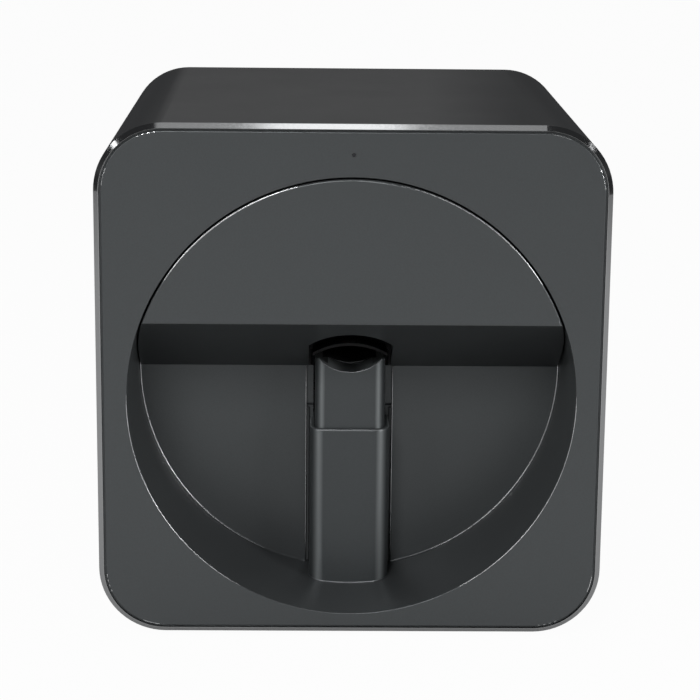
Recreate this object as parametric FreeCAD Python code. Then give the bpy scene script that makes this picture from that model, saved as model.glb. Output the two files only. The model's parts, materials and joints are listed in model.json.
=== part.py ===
import FreeCAD, Part
import math
import os

# Digital nail art printer. Millimetres, +Z up, the front faces -Y.
# The origin is on the table under the middle of the casing. In the code below a place is given as
# x, depth behind the front face, and height above the underside of the casing.

# Casing
WIDTH = 216.0
HEIGHT = 221.0                # casing without its feet
MECHANISM_DEPTH = 155.0       # from the back of the recess to the rear of the casing
CORNER_RADIUS = 28.5          # corners of the casing seen from the front
WALL = 2.4
FOOT_HEIGHT = 3.0
FOOT_RADIUS = 8.0
FOOT_INSET_X = 40.0           # foot centre from the casing's side
FOOT_INSET_Y = 28.0           # foot centre from the front face and from the rear rim
FOOT_EDGE = 0.8
SLIP = 0.1                    # clearance of parts that plug into each other
RUNNING = 0.05                # radial clearance of parts that slide or turn in each other
PILOT_RADIUS = 1.25
SHANK_RADIUS = 1.2
HEAD_RADIUS = 2.6
HEAD_HEIGHT = 1.5
DRIVE_WIDTH = 0.8             # slots of a screw head's cross recess
DRIVE_LENGTH = 3.0

# Bezel and fascia
BEZEL_WIDTH = 2.3
BEZEL_DEPTH = 3.4
BEZEL_CHAMFER = 2.0
SEAT_WIDTH = 3.6              # ledge of the bezel behind the fascia
SPIGOT_LENGTH = 5.0           # part of the bezel that plugs into the shell
FASCIA_THICKNESS = 2.4
FASCIA_GAP = 0.1
GROOVE_WIDTH = 0.8            # shadow groove between the bezel and the raised panel
GROOVE_DEPTH = 1.2
LIGHT_DROP = 12.6             # status light below the top of the casing
LIGHT_HOLE_RADIUS = 0.85
LIGHT_FLANGE_RADIUS = 2.5
LIGHT_RECESS = 0.6

# Hand recess
RECESS_RADIUS = 95.1
RECESS_DEPTH = 61.0
RECESS_DRAFT = 1.0            # radius lost from the front to the floor
RECESS_WALL = 2.0
RECESS_HEIGHT = 103.9         # centre
RIM_ROUND = 0.5               # front edge of the recess and edges of the slot
FLOOR_ROUND = 0.8             # hollow corner between the wall and the floor
FLOOR_LAP = 5.0               # recess floor that runs up behind the hood
ACCESS_MARGIN = 9.1           # floor left round the opening behind the hood
LUG_REACH = 7.9               # lug centres outside the recess
LUG_RADIUS = 5.0
LUG_THICKNESS = 2.5
BOSS_RADIUS = 4.0
BOSS_LENGTH = 5.0

# Hood
HOOD_EDGE_RISE = 32.7         # lower edge at the front, above the recess's centre
HOOD_REAR_RISE = 0.3          # lower edge where the slope meets the recess floor
HOOD_GAP = 0.8
HOOD_REAR_GAP = 0.5
HOOD_WALL = 2.4
HOOD_EDGE_ROUND = 0.8
ARCH_GAP = 2.8                # beside the finger rest
ARCH_RADIUS = 24.3
ARCH_CROWN_RISE = 25.1        # above the recess's centre
TUNNEL_WALL = 1.6
TUNNEL_DEPTH = 48.0
MAGNET_RADIUS = 3.0
MAGNET_LENGTH = 3.0
MAGNET_ANGLE = 50.0           # from horizontal, round the recess
MAGNET_INSET = 5.6            # magnet centres inside the recess's round
MAGNET_GAP = 0.2
MAGNET_WALL = 1.2
MAGNET_POST_LENGTH = 12.0
CATCH_THICKNESS = 1.0

# Grip sleeve and finger rest
SLEEVE_HALF_WIDTH = 17.8
SLEEVE_FRONT = 38.2           # depth of the grip's front face
SLEEVE_TOP_HEIGHT = 80.7
SLEEVE_WALL = 2.1
SLEEVE_CORNER = 7.0
SLEEVE_EDGE_ROUND = 1.0
SLOT_GAP = 1.35               # beside the sleeve, in the recess floor
REST_GAP = 0.2                # finger rest inside the sleeve
REST_WALL = 2.0
REST_CORNER = 5.0
REST_TOP_HEIGHT = 112.0       # tips beside the finger scoop
REST_REACH = 5.0              # column of the finger rest behind the recess floor
REST_LENGTH = 54.0            # from the tips down into the sleeve
SCOOP_RADIUS = 19.0
SCOOP_HEIGHT = 106.3          # lowest line of the scoop
LIP_LENGTH = 4.5              # front lip of the finger rest, at the height of its tips
PAD_SETBACK = 17.2            # front edge of the pad behind the finger rest's front face
TRAY_LENGTH = 37.0
TRAY_DROP = 3.0               # edges of the tray below the tips
TRAY_FLOOR = 4.0
PAD_THICKNESS = 1.3           # below the scoop
PAD_PROUD = 0.4               # above the scoop
PAD_GAP = 0.05

# Lift of the finger rest
LIFT_TRAVEL = 11.0
ROD_SPACING = 18.0
ROD_OFFSET = 17.8             # guide rods behind the grip's front face
ROD_RADIUS = 2.0
ROD_SEAT = 3.0                # blind hole under each guide rod
ROD_TOP_GAP = 3.0             # under the finger rest when it is pressed down
CARRIER_HEIGHT = 8.0
CARRIER_DROP = 41.0           # top of the carrier below the tips of the finger rest
CARRIER_HALF_LENGTH = 10.0
SPRING_RADIUS = 4.5
SPRING_WIRE = 0.6
SPRING_TURNS = 9
GUIDE_WALL = 2.0
GUIDE_GAP = 0.5               # beside the slot
GUIDE_DEPTH = 12.0            # inside, behind the recess floor
GUIDE_TOP_HEIGHT = 89.0       # the pressed finger tray stays above the guide's back wall
SLOT_CHEEK_GAP = 0.7          # beside the finger rest
SLOT_CHEEK_HEIGHT = 85.0      # cheeks that close the slot beside the finger rest, from here up
SLOT_CHEEK_THICKNESS = 2.5
SLOT_CHEEK_ROUND = 2.0
GUIDE_FLANGE = 8.0
GUIDE_SCREW_HEIGHTS = (34.0, 76.0)
SHELF_RISE = 6.2              # above the lowest line of the recess
SHELF_THICKNESS = 6.0
SHELF_SIDE_GAP = 1.5

# Finger limit arch and its light bar
LIMIT_RADIUS = 32.0
LIMIT_CROWN_HEIGHT = 116.2
LIMIT_GAP = 1.0               # arch beside the finger rest
LIMIT_REACH = 12.0            # tongue of the arch in front of the recess floor
LIMIT_THICKNESS = 1.2
BRIDGE_FOOT_WIDTH = 11.5
BRIDGE_THICKNESS = 3.0
BRIDGE_FOOT_HEIGHT = 104.0
BRIDGE_TOP_HEIGHT = 123.0
LIGHT_BAR_HALF_WIDTH = 20.0
LIGHT_BAR_HEIGHT = 4.0
LIGHT_BAR_DEPTH = 5.0

# Chassis
SHEET = 2.0
BASE_PLATE_HEIGHT = 5.0
BASE_PLATE_GAP = 2.0          # behind the recess floor
CHASSIS_INSET = 32.0          # outer face of a side frame from the casing's side
CHASSIS_GAP = 3.0             # side frames behind the recess floor
CHASSIS_REAR_GAP = 11.0       # behind the chassis, to the casing's rear rim
FRAME_TOP_HEIGHT = 205.0
FLANGE_WIDTH = 12.0
BASE_SCREW_INSET = 10.0       # screws from the ends of the base plate
CROSSBAR_THICKNESS = 3.0
CROSSBAR_FOOT_HEIGHT = 185.0
CROSSBAR_TOP_HEIGHT = 203.0
REAR_CROSSBAR_GAP = 16.0      # ahead of the chassis's rear edge
DECK_HEIGHT = 85.0
DECK_GAP = 3.0                # behind the finger tray
DECK_REAR_GAP = 6.0

# Print head travel
NAIL_REACH = 25.0             # nail being printed, behind the recess floor
NOZZLE_HEIGHT = 122.0
STAGE_TRAVEL = 36.0
CARRIAGE_TRAVEL = 22.0        # each way
RAIL_RADIUS = 4.0
RAIL_INSET = 12.0             # rail axis from the inner edge of its side frame
RAIL_HEIGHT = 167.0
SUPPORT_LENGTH = 8.0
SUPPORT_HALF_HEIGHT = 10.0
SUPPORT_MARGIN = 4.0          # supports from the ends of the side frames
BUSHING_WALL = 2.0
BLOCK_LENGTH = 40.0
BLOCK_WALL = 2.0
CHEEK = 6.0
GANTRY_HALF_HEIGHT = 18.0
GANTRY_RISE = 43.0            # middle of the gantry above the nozzle
GANTRY_PLATE = 4.0
X_ROD_RADIUS = 3.0
X_ROD_SPACING = 24.0
X_ROD_OFFSET = 42.0           # behind the nozzle
BELT_OFFSET = 49.0            # behind the nozzle
BELT_WIDTH = 4.0
BELT_THICKNESS = 1.0
BELT_RADIUS = 5.0
BELT_GAP = 0.3                # between the belt, its pulleys and its clamp
FLANGE_THICKNESS = 0.5
FLANGE_RADIUS = 6.0
PULLEY_MARGIN = 4.0           # pulley centres beyond the carriage at the end of its travel
AXLE_RADIUS = 1.5
MOTOR_RADIUS = 9.0
MOTOR_LENGTH = 17.0
SCREW_RADIUS = 3.0
SCREW_INSET = 24.0            # lead screw axis from the inner edge of the right side frame
SCREW_HEIGHT = 194.0
NUT_RADIUS = 6.0
NUT_LENGTH = 11.0
NUT_ARM_HALF_WIDTH = 8.0
NUT_ARM_LENGTH = 8.0
Y_MOTOR_RADIUS = 11.0
Y_MOTOR_GAP = 3.5             # behind the motor, to the rear cover

# Carriage and cartridge
CRADLE_HALF_WIDTH = 15.0
CRADLE_WALL = 2.0
CRADLE_LENGTH = 46.0
CRADLE_FLOOR_HEIGHT = 135.0
CRADLE_TOP_HEIGHT = 175.0
CRADLE_LIP_HEIGHT = 147.0
BEARING_LENGTH = 15.0
CARTRIDGE_GAP = 0.3
CARTRIDGE_HEIGHT = 47.0
CARTRIDGE_CORNER = 2.0
SNOUT_HALF_WIDTH = 9.0
SNOUT_HALF_LENGTH = 10.0
SNOUT_GAP = 1.5
SLIM_BUSHING_WALL = 1.5
CLAMP_HALF_WIDTH = 6.0
LATCH_LENGTH = 28.0
LATCH_HALF_WIDTH = 9.0
LATCH_THICKNESS = 2.2
LATCH_GAP = 0.4               # over the cartridge
TRUNNION_RADIUS = 2.0
BARREL_RADIUS = 2.8
EAR_THICKNESS = 3.0
EAR_HEIGHT = 9.0
EAR_LENGTH = 7.0

# Capping station
CAP_STAND_HALF_WIDTH = 13.0
CAP_STAND_HALF_LENGTH = 14.0
CAP_STAND_CORNER = 2.0
CAP_HEIGHT = 5.7
CAP_GAP = 0.3
CAP_WALL = 1.5
CAP_HALF_WIDTH = 8.5
CAP_HALF_LENGTH = 9.5

# Camera over the nail
CAMERA_OFFSET = 6.0           # in front of the nail's middle
CAMERA_HEIGHT = 200.0
CAMERA_HALF_SIZE = 8.0
CAMERA_BOARD = 1.6
LENS_RADIUS = 5.0
LENS_LENGTH = 6.4
LENS_EDGE = 0.3
BRACKET_HALF_WIDTH = 10.0

# Rear cover and what is on it
COVER_THICKNESS = 2.5
COVER_RECESS = 2.5
VENT_WIDTH = 3.0
VENT_LENGTH = 24.0
VENT_PITCH = 8.0
VENT_COLUMNS = 15
VENT_HEIGHTS = (130.0, 164.0)
COVER_BOSS_RADIUS = 4.5
COVER_BOSS_LENGTH = 14.0
COVER_BOSS_SINK = 1.0         # bosses sunk into the shell's wall
FAN_X = -48.0
FAN_HEIGHT = 58.0
FAN_SIZE = 40.0
FAN_THICKNESS = 10.0
FAN_BORE = 19.0
FAN_HUB = 8.0
FAN_BLADES = 7
FAN_PITCH = 40.0              # blade angle in degrees
FAN_TIP_GAP = 0.8
FAN_FRONT_GAP = 0.5
FAN_CORNER = 2.5
FAN_ARM_HALF_WIDTH = 1.0
FAN_BLADE_THICKNESS = 1.0
GRILLE_SLOTS = 5
GRILLE_PITCH = 7.0
GRILLE_INSET = 1.0            # ends of the grille's slots inside the fan's bore
SWITCH_X = 56.0
SWITCH_HEIGHT = 60.0
SWITCH_HALF_WIDTH = 7.0
SWITCH_HALF_HEIGHT = 10.5
SWITCH_DEPTH = 14.0
SWITCH_FLANGE = 1.5
ROCKER_ANGLE = 10.0           # each way from level
ROCKER_GAP = 0.4
ROCKER_SINK = 4.5             # pivot inside the cover's rear face
ROCKER_FACE_SINK = 0.6
ROCKER_EDGE = 2.0

# Electronics
BOARD_THICKNESS = 1.6
BOARD_HEIGHT = 15.0
BOARD_GAP_FRONT = 35.0        # boards behind the base plate's front edge
BOARD_REAR_GAP = 3.0          # from the boards to the chassis's rear edge
BOARD_GAP = 6.0               # between the two boards
MAIN_BOARD_SPAN = (-58.0, 20.0)
POWER_BOARD_WIDTH = 32.0
STANDOFF_RADIUS = 3.0
STANDOFF_INSET = 5.0
INLET_OFFSET = 20.0           # DC inlet from the power board's inner edge
INLET_HALF_WIDTH = 5.0
INLET_LENGTH = 14.0
INLET_HEIGHT = 11.0
INLET_BORE = 3.0
INLET_PIN = 1.0
INLET_NOSE = 4.0
USB_X = -10.0
USB_HALF_WIDTH = 4.5
USB_HEIGHT = 3.2
USB_LENGTH = 8.0
USB_WALL = 0.3
USB_TONGUE_HALF_WIDTH = 3.1
USB_TONGUE_HALF_HEIGHT = 0.35

# Components on the boards. A size is width, length and height, or radius and height, and a place is
# measured from the left front corner of the board.
CHIP_SIZE = (10.0, 10.0, 1.6)
CHIP_PLACES = ((8.0, 12.0), (8.0, 30.0), (52.0, 14.0), (52.0, 34.0))
SOCKET_SIZE = (12.0, 5.0, 7.0)
SOCKET_PLACES = ((12.0, 1.5), (30.0, 1.5), (48.0, 1.5))
SMALL_CAN_SIZE = (4.0, 11.0)
SMALL_CAN_PLACES = ((56.0, 56.0), (66.0, 56.0), (56.0, 66.0), (66.0, 66.0))
RADIO_SIZE = (16.0, 20.0, 3.0)
RADIO_PLACE = (6.0, 60.0)
HEAT_SINK_SIZE = (22.0, 22.0, 9.0)
HEAT_SINK_PLACE = (24.0, 30.0)
HEAT_SINK_FINS = 6
COIL_SIZE = (20.0, 20.0, 16.0)
COIL_PLACE = (6.0, 14.0)
LARGE_CAN_SIZE = (5.0, 18.0)
LARGE_CAN_PLACES = ((8.0, 46.0), (22.0, 46.0))
REGULATOR_SIZE = (6.0, 4.0, 14.0)
REGULATOR_PLACES = ((6.0, 60.0), (16.0, 60.0))

# Places that follow from the sizes above
DEPTH = RECESS_DEPTH + MECHANISM_DEPTH
FRONT_Y = -DEPTH / 2
SIDE_X = WIDTH / 2
SEAT_INSET = BEZEL_WIDTH + SEAT_WIDTH
COVER_FRONT = DEPTH - COVER_RECESS - COVER_THICKNESS
COVER_BACK = DEPTH - COVER_RECESS
LIGHT_HEIGHT = HEIGHT - LIGHT_DROP
LUG_FRONT = FASCIA_THICKNESS + BOSS_LENGTH
LUG_BACK = LUG_FRONT + LUG_THICKNESS
LUG_CIRCLE = RECESS_RADIUS + LUG_REACH
ACCESS_RADIUS = RECESS_RADIUS - ACCESS_MARGIN
FLOOR_BACK = RECESS_DEPTH + RECESS_WALL
HOOD_EDGE_HEIGHT = RECESS_HEIGHT + HOOD_EDGE_RISE
HOOD_REAR_HEIGHT = RECESS_HEIGHT + HOOD_REAR_RISE
ARCH_CROWN_HEIGHT = RECESS_HEIGHT + ARCH_CROWN_RISE
HOOD_DEPTH = RECESS_DEPTH - HOOD_REAR_GAP
MAGNET_CIRCLE = RECESS_RADIUS - MAGNET_INSET
MAGNET_X = MAGNET_CIRCLE * math.cos(math.radians(MAGNET_ANGLE))
MAGNET_HEIGHT = RECESS_HEIGHT + MAGNET_CIRCLE * math.sin(math.radians(MAGNET_ANGLE))
CATCH_FRONT = RECESS_DEPTH - CATCH_THICKNESS
MAGNET_BACK = CATCH_FRONT - MAGNET_GAP
MAGNET_FRONT = MAGNET_BACK - MAGNET_LENGTH

SLOT_HALF_WIDTH = SLEEVE_HALF_WIDTH + SLOT_GAP
SLEEVE_INNER = SLEEVE_HALF_WIDTH - SLEEVE_WALL
REST_HALF_WIDTH = SLEEVE_INNER - REST_GAP
REST_INNER = REST_HALF_WIDTH - REST_WALL
REST_FRONT = SLEEVE_FRONT + SLEEVE_WALL
SLEEVE_CAVITY_FRONT = REST_FRONT - REST_GAP
REST_BACK = FLOOR_BACK + REST_REACH
TRAY_BACK = REST_BACK + TRAY_LENGTH
LIP_BACK = REST_FRONT + LIP_LENGTH
PAD_FRONT = REST_FRONT + PAD_SETBACK
REST_FOOT_HEIGHT = REST_TOP_HEIGHT - REST_LENGTH
SCOOP_AXIS = SCOOP_HEIGHT + SCOOP_RADIUS
PAD_SEAT = SCOOP_RADIUS + PAD_THICKNESS
PAD_SEAT_HEIGHT = SCOOP_HEIGHT - PAD_THICKNESS
TRAY_TOP = REST_TOP_HEIGHT - TRAY_DROP
TRAY_UNDERSIDE = PAD_SEAT_HEIGHT - TRAY_FLOOR
REST_CEILING = PAD_SEAT_HEIGHT - REST_WALL
ARCH_HALF_WIDTH = REST_HALF_WIDTH + ARCH_GAP
LIMIT_HALF_WIDTH = REST_HALF_WIDTH + LIMIT_GAP
LIMIT_FRONT = RECESS_DEPTH - LIMIT_REACH

ROD_DEPTH = SLEEVE_FRONT + ROD_OFFSET
ROD_TOP = REST_CEILING - LIFT_TRAVEL - ROD_TOP_GAP
CARRIER_FRONT = ROD_DEPTH - CARRIER_HALF_LENGTH
CARRIER_BACK = ROD_DEPTH + CARRIER_HALF_LENGTH
CARRIER_TOP = REST_TOP_HEIGHT - CARRIER_DROP
CARRIER_FOOT = CARRIER_TOP - CARRIER_HEIGHT
SHELF_HEIGHT = RECESS_HEIGHT - RECESS_RADIUS + SHELF_RISE
SHELF_TOP = SHELF_HEIGHT + SHELF_THICKNESS
GUIDE_FRONT = FLOOR_BACK + GUIDE_DEPTH
GUIDE_BACK = GUIDE_FRONT + GUIDE_WALL
GUIDE_INNER = SLOT_HALF_WIDTH + GUIDE_GAP
GUIDE_OUTER = GUIDE_INNER + GUIDE_WALL
BRIDGE_HALF_WIDTH = LIMIT_HALF_WIDTH + BRIDGE_FOOT_WIDTH
BRIDGE_BACK = FLOOR_BACK + BRIDGE_THICKNESS
BAR_TOP = BRIDGE_TOP_HEIGHT + LIGHT_BAR_HEIGHT

BASE_TOP = BASE_PLATE_HEIGHT + SHEET
BASE_PLATE_FRONT = FLOOR_BACK + BASE_PLATE_GAP
FRAME_OUTER = SIDE_X - CHASSIS_INSET
FRAME_INNER = FRAME_OUTER - SHEET
FLANGE_INNER = FRAME_INNER - FLANGE_WIDTH
FLANGE_TOP = BASE_TOP + SHEET
CHASSIS_FRONT = FLOOR_BACK + CHASSIS_GAP
CHASSIS_BACK = DEPTH - CHASSIS_REAR_GAP
FRONT_BAR_BACK = CHASSIS_FRONT + CROSSBAR_THICKNESS
REAR_BAR_FRONT = CHASSIS_BACK - REAR_CROSSBAR_GAP
REAR_BAR_BACK = REAR_BAR_FRONT + CROSSBAR_THICKNESS
DECK_FRONT = TRAY_BACK + DECK_GAP
DECK_TOP = DECK_HEIGHT + SHEET
DECK_BACK = CHASSIS_BACK - DECK_REAR_GAP

NAIL_DEPTH = FLOOR_BACK + NAIL_REACH
HOME_DEPTH = NAIL_DEPTH + STAGE_TRAVEL
RAIL_X = FRAME_INNER - RAIL_INSET
RAIL_BORE = RAIL_RADIUS + RUNNING
SUPPORT_FRONT = CHASSIS_FRONT + SUPPORT_MARGIN
SUPPORT_BACK = CHASSIS_BACK - SUPPORT_MARGIN - SUPPORT_LENGTH
BUSHING_RADIUS = RAIL_RADIUS + BUSHING_WALL
HOUSING_HALF = BUSHING_RADIUS + BLOCK_WALL
BLOCK_INNER = RAIL_X - HOUSING_HALF
BLOCK_OUTER = RAIL_X + HOUSING_HALF
CHEEK_INNER = BLOCK_INNER - CHEEK
GANTRY_HEIGHT = NOZZLE_HEIGHT + GANTRY_RISE
GANTRY_TOP = GANTRY_HEIGHT + GANTRY_HALF_HEIGHT
GANTRY_FOOT = GANTRY_HEIGHT - GANTRY_HALF_HEIGHT
X_ROD_DEPTH = HOME_DEPTH + X_ROD_OFFSET
X_ROD_HEIGHTS = (GANTRY_HEIGHT - X_ROD_SPACING / 2, GANTRY_HEIGHT + X_ROD_SPACING / 2)
PULLEY_X = CRADLE_HALF_WIDTH + CARRIAGE_TRAVEL + PULLEY_MARGIN
BELT_FRONT = HOME_DEPTH + BELT_OFFSET
BELT_BACK = BELT_FRONT + BELT_WIDTH
BELT_INNER = BELT_RADIUS - BELT_THICKNESS / 2
BELT_OUTER = BELT_RADIUS + BELT_THICKNESS / 2
PULLEY_FRONT = BELT_FRONT - BELT_GAP - FLANGE_THICKNESS
PULLEY_BACK = BELT_BACK + BELT_GAP + FLANGE_THICKNESS
PLATE_FRONT = PULLEY_BACK + BELT_GAP
PLATE_BACK = PLATE_FRONT + GANTRY_PLATE
MOTOR_BACK = PLATE_BACK + MOTOR_LENGTH
SHAFT_BACK = PLATE_BACK + MOTOR_LENGTH / 2
BLOCK_FRONT = PLATE_BACK - BLOCK_LENGTH
SCREW_X = FRAME_INNER - SCREW_INSET
SCREW_BORE = SCREW_RADIUS + RUNNING
NUT_ARM_FRONT = PLATE_BACK - NUT_ARM_LENGTH
NUT_ARM_TOP = SCREW_HEIGHT + NUT_RADIUS + BLOCK_WALL

CRADLE_FRONT = HOME_DEPTH - SNOUT_HALF_LENGTH - SNOUT_GAP - CRADLE_WALL
BEARING_FRONT = CRADLE_FRONT + CRADLE_LENGTH
BEARING_BACK = BEARING_FRONT + BEARING_LENGTH
CRADLE_FLOOR_TOP = CRADLE_FLOOR_HEIGHT + CRADLE_WALL
CARTRIDGE_TOP = CRADLE_FLOOR_TOP + CARTRIDGE_HEIGHT
SLIM_BUSHING_RADIUS = X_ROD_RADIUS + SLIM_BUSHING_WALL
LATCH_UNDERSIDE = CARTRIDGE_TOP + LATCH_GAP
LATCH_TOP = LATCH_UNDERSIDE + LATCH_THICKNESS
LATCH_PIVOT_HEIGHT = LATCH_UNDERSIDE + BARREL_RADIUS
LATCH_PIVOT_DEPTH = BEARING_FRONT + EAR_LENGTH / 2
CAP_STAND_TOP = NOZZLE_HEIGHT - CAP_GAP - CAP_HEIGHT
CAMERA_DEPTH = NAIL_DEPTH - CAMERA_OFFSET
CAMERA_BACK = CAMERA_DEPTH + CAMERA_HALF_SIZE

BOARD_FRONT = BASE_PLATE_FRONT + BOARD_GAP_FRONT
BOARD_TOP = BOARD_HEIGHT + BOARD_THICKNESS
BOARD_BACK = CHASSIS_BACK - BOARD_REAR_GAP
POWER_BOARD_LEFT = MAIN_BOARD_SPAN[1] + BOARD_GAP
POWER_BOARD_SPAN = (POWER_BOARD_LEFT, POWER_BOARD_LEFT + POWER_BOARD_WIDTH)
INLET_X = POWER_BOARD_LEFT + INLET_OFFSET
INLET_MIDDLE = BOARD_TOP + INLET_HEIGHT / 2
INLET_FRONT = COVER_FRONT - INLET_LENGTH
GRILLE_RADIUS = FAN_BORE - GRILLE_INSET
SWITCH_FRONT = COVER_BACK - SWITCH_DEPTH
ROCKER_PIVOT = COVER_BACK - ROCKER_SINK
FAN_FRONT = COVER_FRONT - FAN_THICKNESS
SPIDER_FRONT = COVER_FRONT - SHEET

# Helpers

ORIGIN = FreeCAD.Vector(0, 0, 0)
X_AXIS = FreeCAD.Vector(1, 0, 0)
Y_AXIS = FreeCAD.Vector(0, 1, 0)
Z_AXIS = FreeCAD.Vector(0, 0, 1)


def at(x, depth, height):
    return FreeCAD.Vector(x, FRONT_Y + depth, FOOT_HEIGHT + height)


def block(x0, x1, d0, d1, h0, h1):
    return Part.makeBox(x1 - x0, d1 - d0, h1 - h0, at(x0, d0, h0))


def wide_block(half_width, d0, d1, h0, h1):
    return block(-half_width, half_width, d0, d1, h0, h1)


def rod_x(radius, x0, x1, depth, height):
    return Part.makeCylinder(radius, x1 - x0, at(x0, depth, height), X_AXIS)


def rod_y(radius, x, d0, d1, height):
    return Part.makeCylinder(radius, d1 - d0, at(x, d0, height), Y_AXIS)


def rod_z(radius, x, depth, h0, h1):
    return Part.makeCylinder(radius, h1 - h0, at(x, depth, h0), Z_AXIS)


def edges_along(shape, axis):
    """Straight edges of a shape that run along an axis."""
    lines = [edge for edge in shape.Edges if isinstance(edge.Curve, Part.Line)]
    return [edge for edge in lines if abs(edge.Curve.Direction.dot(axis)) > 0.999]


def edges_at_depth(shape, depth):
    """Edges that lie wholly at one depth."""
    y = FRONT_Y + depth
    boxes = [(edge, edge.BoundBox) for edge in shape.Edges]
    return [edge for edge, box in boxes if abs(box.YMin - y) + abs(box.YMax - y) < 1e-3]


def edges_at_height(shape, height):
    """Edges that lie wholly at one height."""
    z = FOOT_HEIGHT + height
    boxes = [(edge, edge.BoundBox) for edge in shape.Edges]
    return [edge for edge, box in boxes if abs(box.ZMin - z) + abs(box.ZMax - z) < 1e-3]


def rounded(shape, radius, axis):
    return shape.makeFillet(radius, edges_along(shape, axis))


def uprights_at(shape, depth):
    """Vertical edges at one depth."""
    return edges_along(group(edges_at_depth(shape, depth)), Z_AXIS)


def front_rounded_block(half_width, d0, d1, h0, h1, radius):
    """Block whose two front uprights are rounded."""
    whole = rounded(wide_block(half_width, d0, d1 + radius, h0, h1), radius, Z_AXIS)
    return whole.common(wide_block(half_width, d0, d1, h0, h1))


def casing_block(inset, d0, d1):
    """The casing's outline, moved inwards, from one depth to another."""
    plain = wide_block(SIDE_X - inset, d0, d1, inset, HEIGHT - inset)
    return rounded(plain, CORNER_RADIUS - inset, Y_AXIS)


def recess_cone(inset, d0, d1):
    """The tapered round of the hand recess, with its wall moved inwards."""
    taper = RECESS_DRAFT / RECESS_DEPTH
    front = RECESS_RADIUS - inset - taper * d0
    back = RECESS_RADIUS - inset - taper * d1
    return Part.makeCone(front, back, d1 - d0, at(0, d0, RECESS_HEIGHT), Y_AXIS)


def side_profile(points, x0, x1):
    """Outline of depths and heights, filled from one x to another."""
    corners = [at(x0, depth, height) for depth, height in points]
    return Part.Face(Part.makePolygon(corners + corners[:1])).extrude(X_AXIS * (x1 - x0))


def arch(half_width, crown, radius, foot, d0, d1):
    """Upright outline with a round top, run along the depth."""
    spring = crown - radius + math.sqrt(radius ** 2 - half_width ** 2)
    left_foot, left_top = at(-half_width, d0, foot), at(-half_width, d0, spring)
    right_foot, right_top = at(half_width, d0, foot), at(half_width, d0, spring)
    outline = [
        Part.makeLine(left_foot, left_top),
        Part.Arc(left_top, at(0, d0, crown), right_top).toShape(),
        Part.makeLine(right_top, right_foot),
        Part.makeLine(right_foot, left_foot),
    ]
    return Part.Face(Part.Wire(outline)).extrude(Y_AXIS * (d1 - d0))


def both_sides(shape):
    """The shape and its mirror image across the middle of the casing."""
    return [shape, shape.mirror(ORIGIN, X_AXIS)]


def fused(shapes):
    first, *others = shapes
    return first.fuse(others).removeSplitter()


def group(shapes):
    return Part.makeCompound(shapes)


def screw_y(x, depth, height, length):
    """Pan head screw driven forwards. Its head seats at the given depth."""
    top = depth + HEAD_HEIGHT
    floor = depth + HEAD_HEIGHT / 2
    long, short = DRIVE_LENGTH / 2, DRIVE_WIDTH / 2
    head = rod_y(HEAD_RADIUS, x, depth, top, height)
    cross = [block(x - dx, x + dx, floor, top, height - dz, height + dz)
             for dx, dz in ((long, short), (short, long))]
    return fused([head, rod_y(SHANK_RADIUS, x, depth - length, depth, height)]).cut(cross)


def screw_z(x, depth, height, length):
    """Pan head screw driven downwards. Its head seats at the given height."""
    head = rod_z(HEAD_RADIUS, x, depth, height, height + HEAD_HEIGHT)
    return fused([head, rod_z(SHANK_RADIUS, x, depth, height - length, height)])


# Places used by more than one sub-part

def foot_places():
    x = SIDE_X - FOOT_INSET_X
    return [(side * x, depth) for side in (-1, 1) for depth in (FOOT_INSET_Y, DEPTH - FOOT_INSET_Y)]


def chassis_screw_places():
    x = FRAME_INNER - FLANGE_WIDTH / 2
    depths = (CHASSIS_FRONT + BASE_SCREW_INSET, CHASSIS_BACK - BASE_SCREW_INSET)
    return [(side * x, depth) for side in (-1, 1) for depth in depths]


def cover_screw_places():
    """Screws of the rear cover, on the diagonals of the casing's corners."""
    reach = (CORNER_RADIUS - WALL - COVER_BOSS_RADIUS + COVER_BOSS_SINK) * math.sqrt(0.5)
    x = SIDE_X - CORNER_RADIUS + reach
    low = CORNER_RADIUS - reach
    return [(side * x, height) for side in (-1, 1) for height in (low, HEIGHT - low)]


def lug_places():
    reach = LUG_CIRCLE * math.sqrt(0.5)
    return [(sx * reach, RECESS_HEIGHT + sz * reach) for sx in (-1, 1) for sz in (-1, 1)]


def guide_screw_places():
    x = GUIDE_OUTER + GUIDE_FLANGE / 2
    return [(side * x, height) for side in (-1, 1) for height in GUIDE_SCREW_HEIGHTS]


def guide_rod_places():
    return [(side * ROD_SPACING / 2, ROD_DEPTH) for side in (-1, 1)]


# Casing

def outer_shell():
    sleeve = casing_block(0, BEZEL_DEPTH, DEPTH).cut(casing_block(WALL, BEZEL_DEPTH - 1, DEPTH + 1))
    root = WALL / 2
    boss_front = COVER_FRONT - COVER_BOSS_LENGTH
    bosses, pilots = [], []
    for x, height in cover_screw_places():
        bosses.append(rod_y(COVER_BOSS_RADIUS, x, boss_front, COVER_FRONT, height))
        pilots.append(rod_y(PILOT_RADIUS, x, boss_front + root, COVER_FRONT + 1, height))
    for x, depth in chassis_screw_places():
        bosses.append(rod_z(COVER_BOSS_RADIUS, x, depth, root, BASE_PLATE_HEIGHT))
        pilots.append(rod_z(PILOT_RADIUS, x, depth, root, BASE_PLATE_HEIGHT + 1))
    inside = casing_block(root, BEZEL_DEPTH, DEPTH)
    return fused([sleeve] + [boss.common(inside) for boss in bosses]).cut(pilots)


def front_bezel():
    ring = casing_block(0, 0, BEZEL_DEPTH)
    ring = ring.makeChamfer(BEZEL_CHAMFER, edges_at_depth(ring, 0))
    spigot_back = BEZEL_DEPTH + SPIGOT_LENGTH
    spigot = casing_block(WALL + SLIP, BEZEL_DEPTH, spigot_back)
    pocket = casing_block(BEZEL_WIDTH, -1, FASCIA_THICKNESS)
    middle = casing_block(SEAT_INSET, -1, spigot_back + 1)
    return fused([ring, spigot]).cut([pocket, middle])


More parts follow.
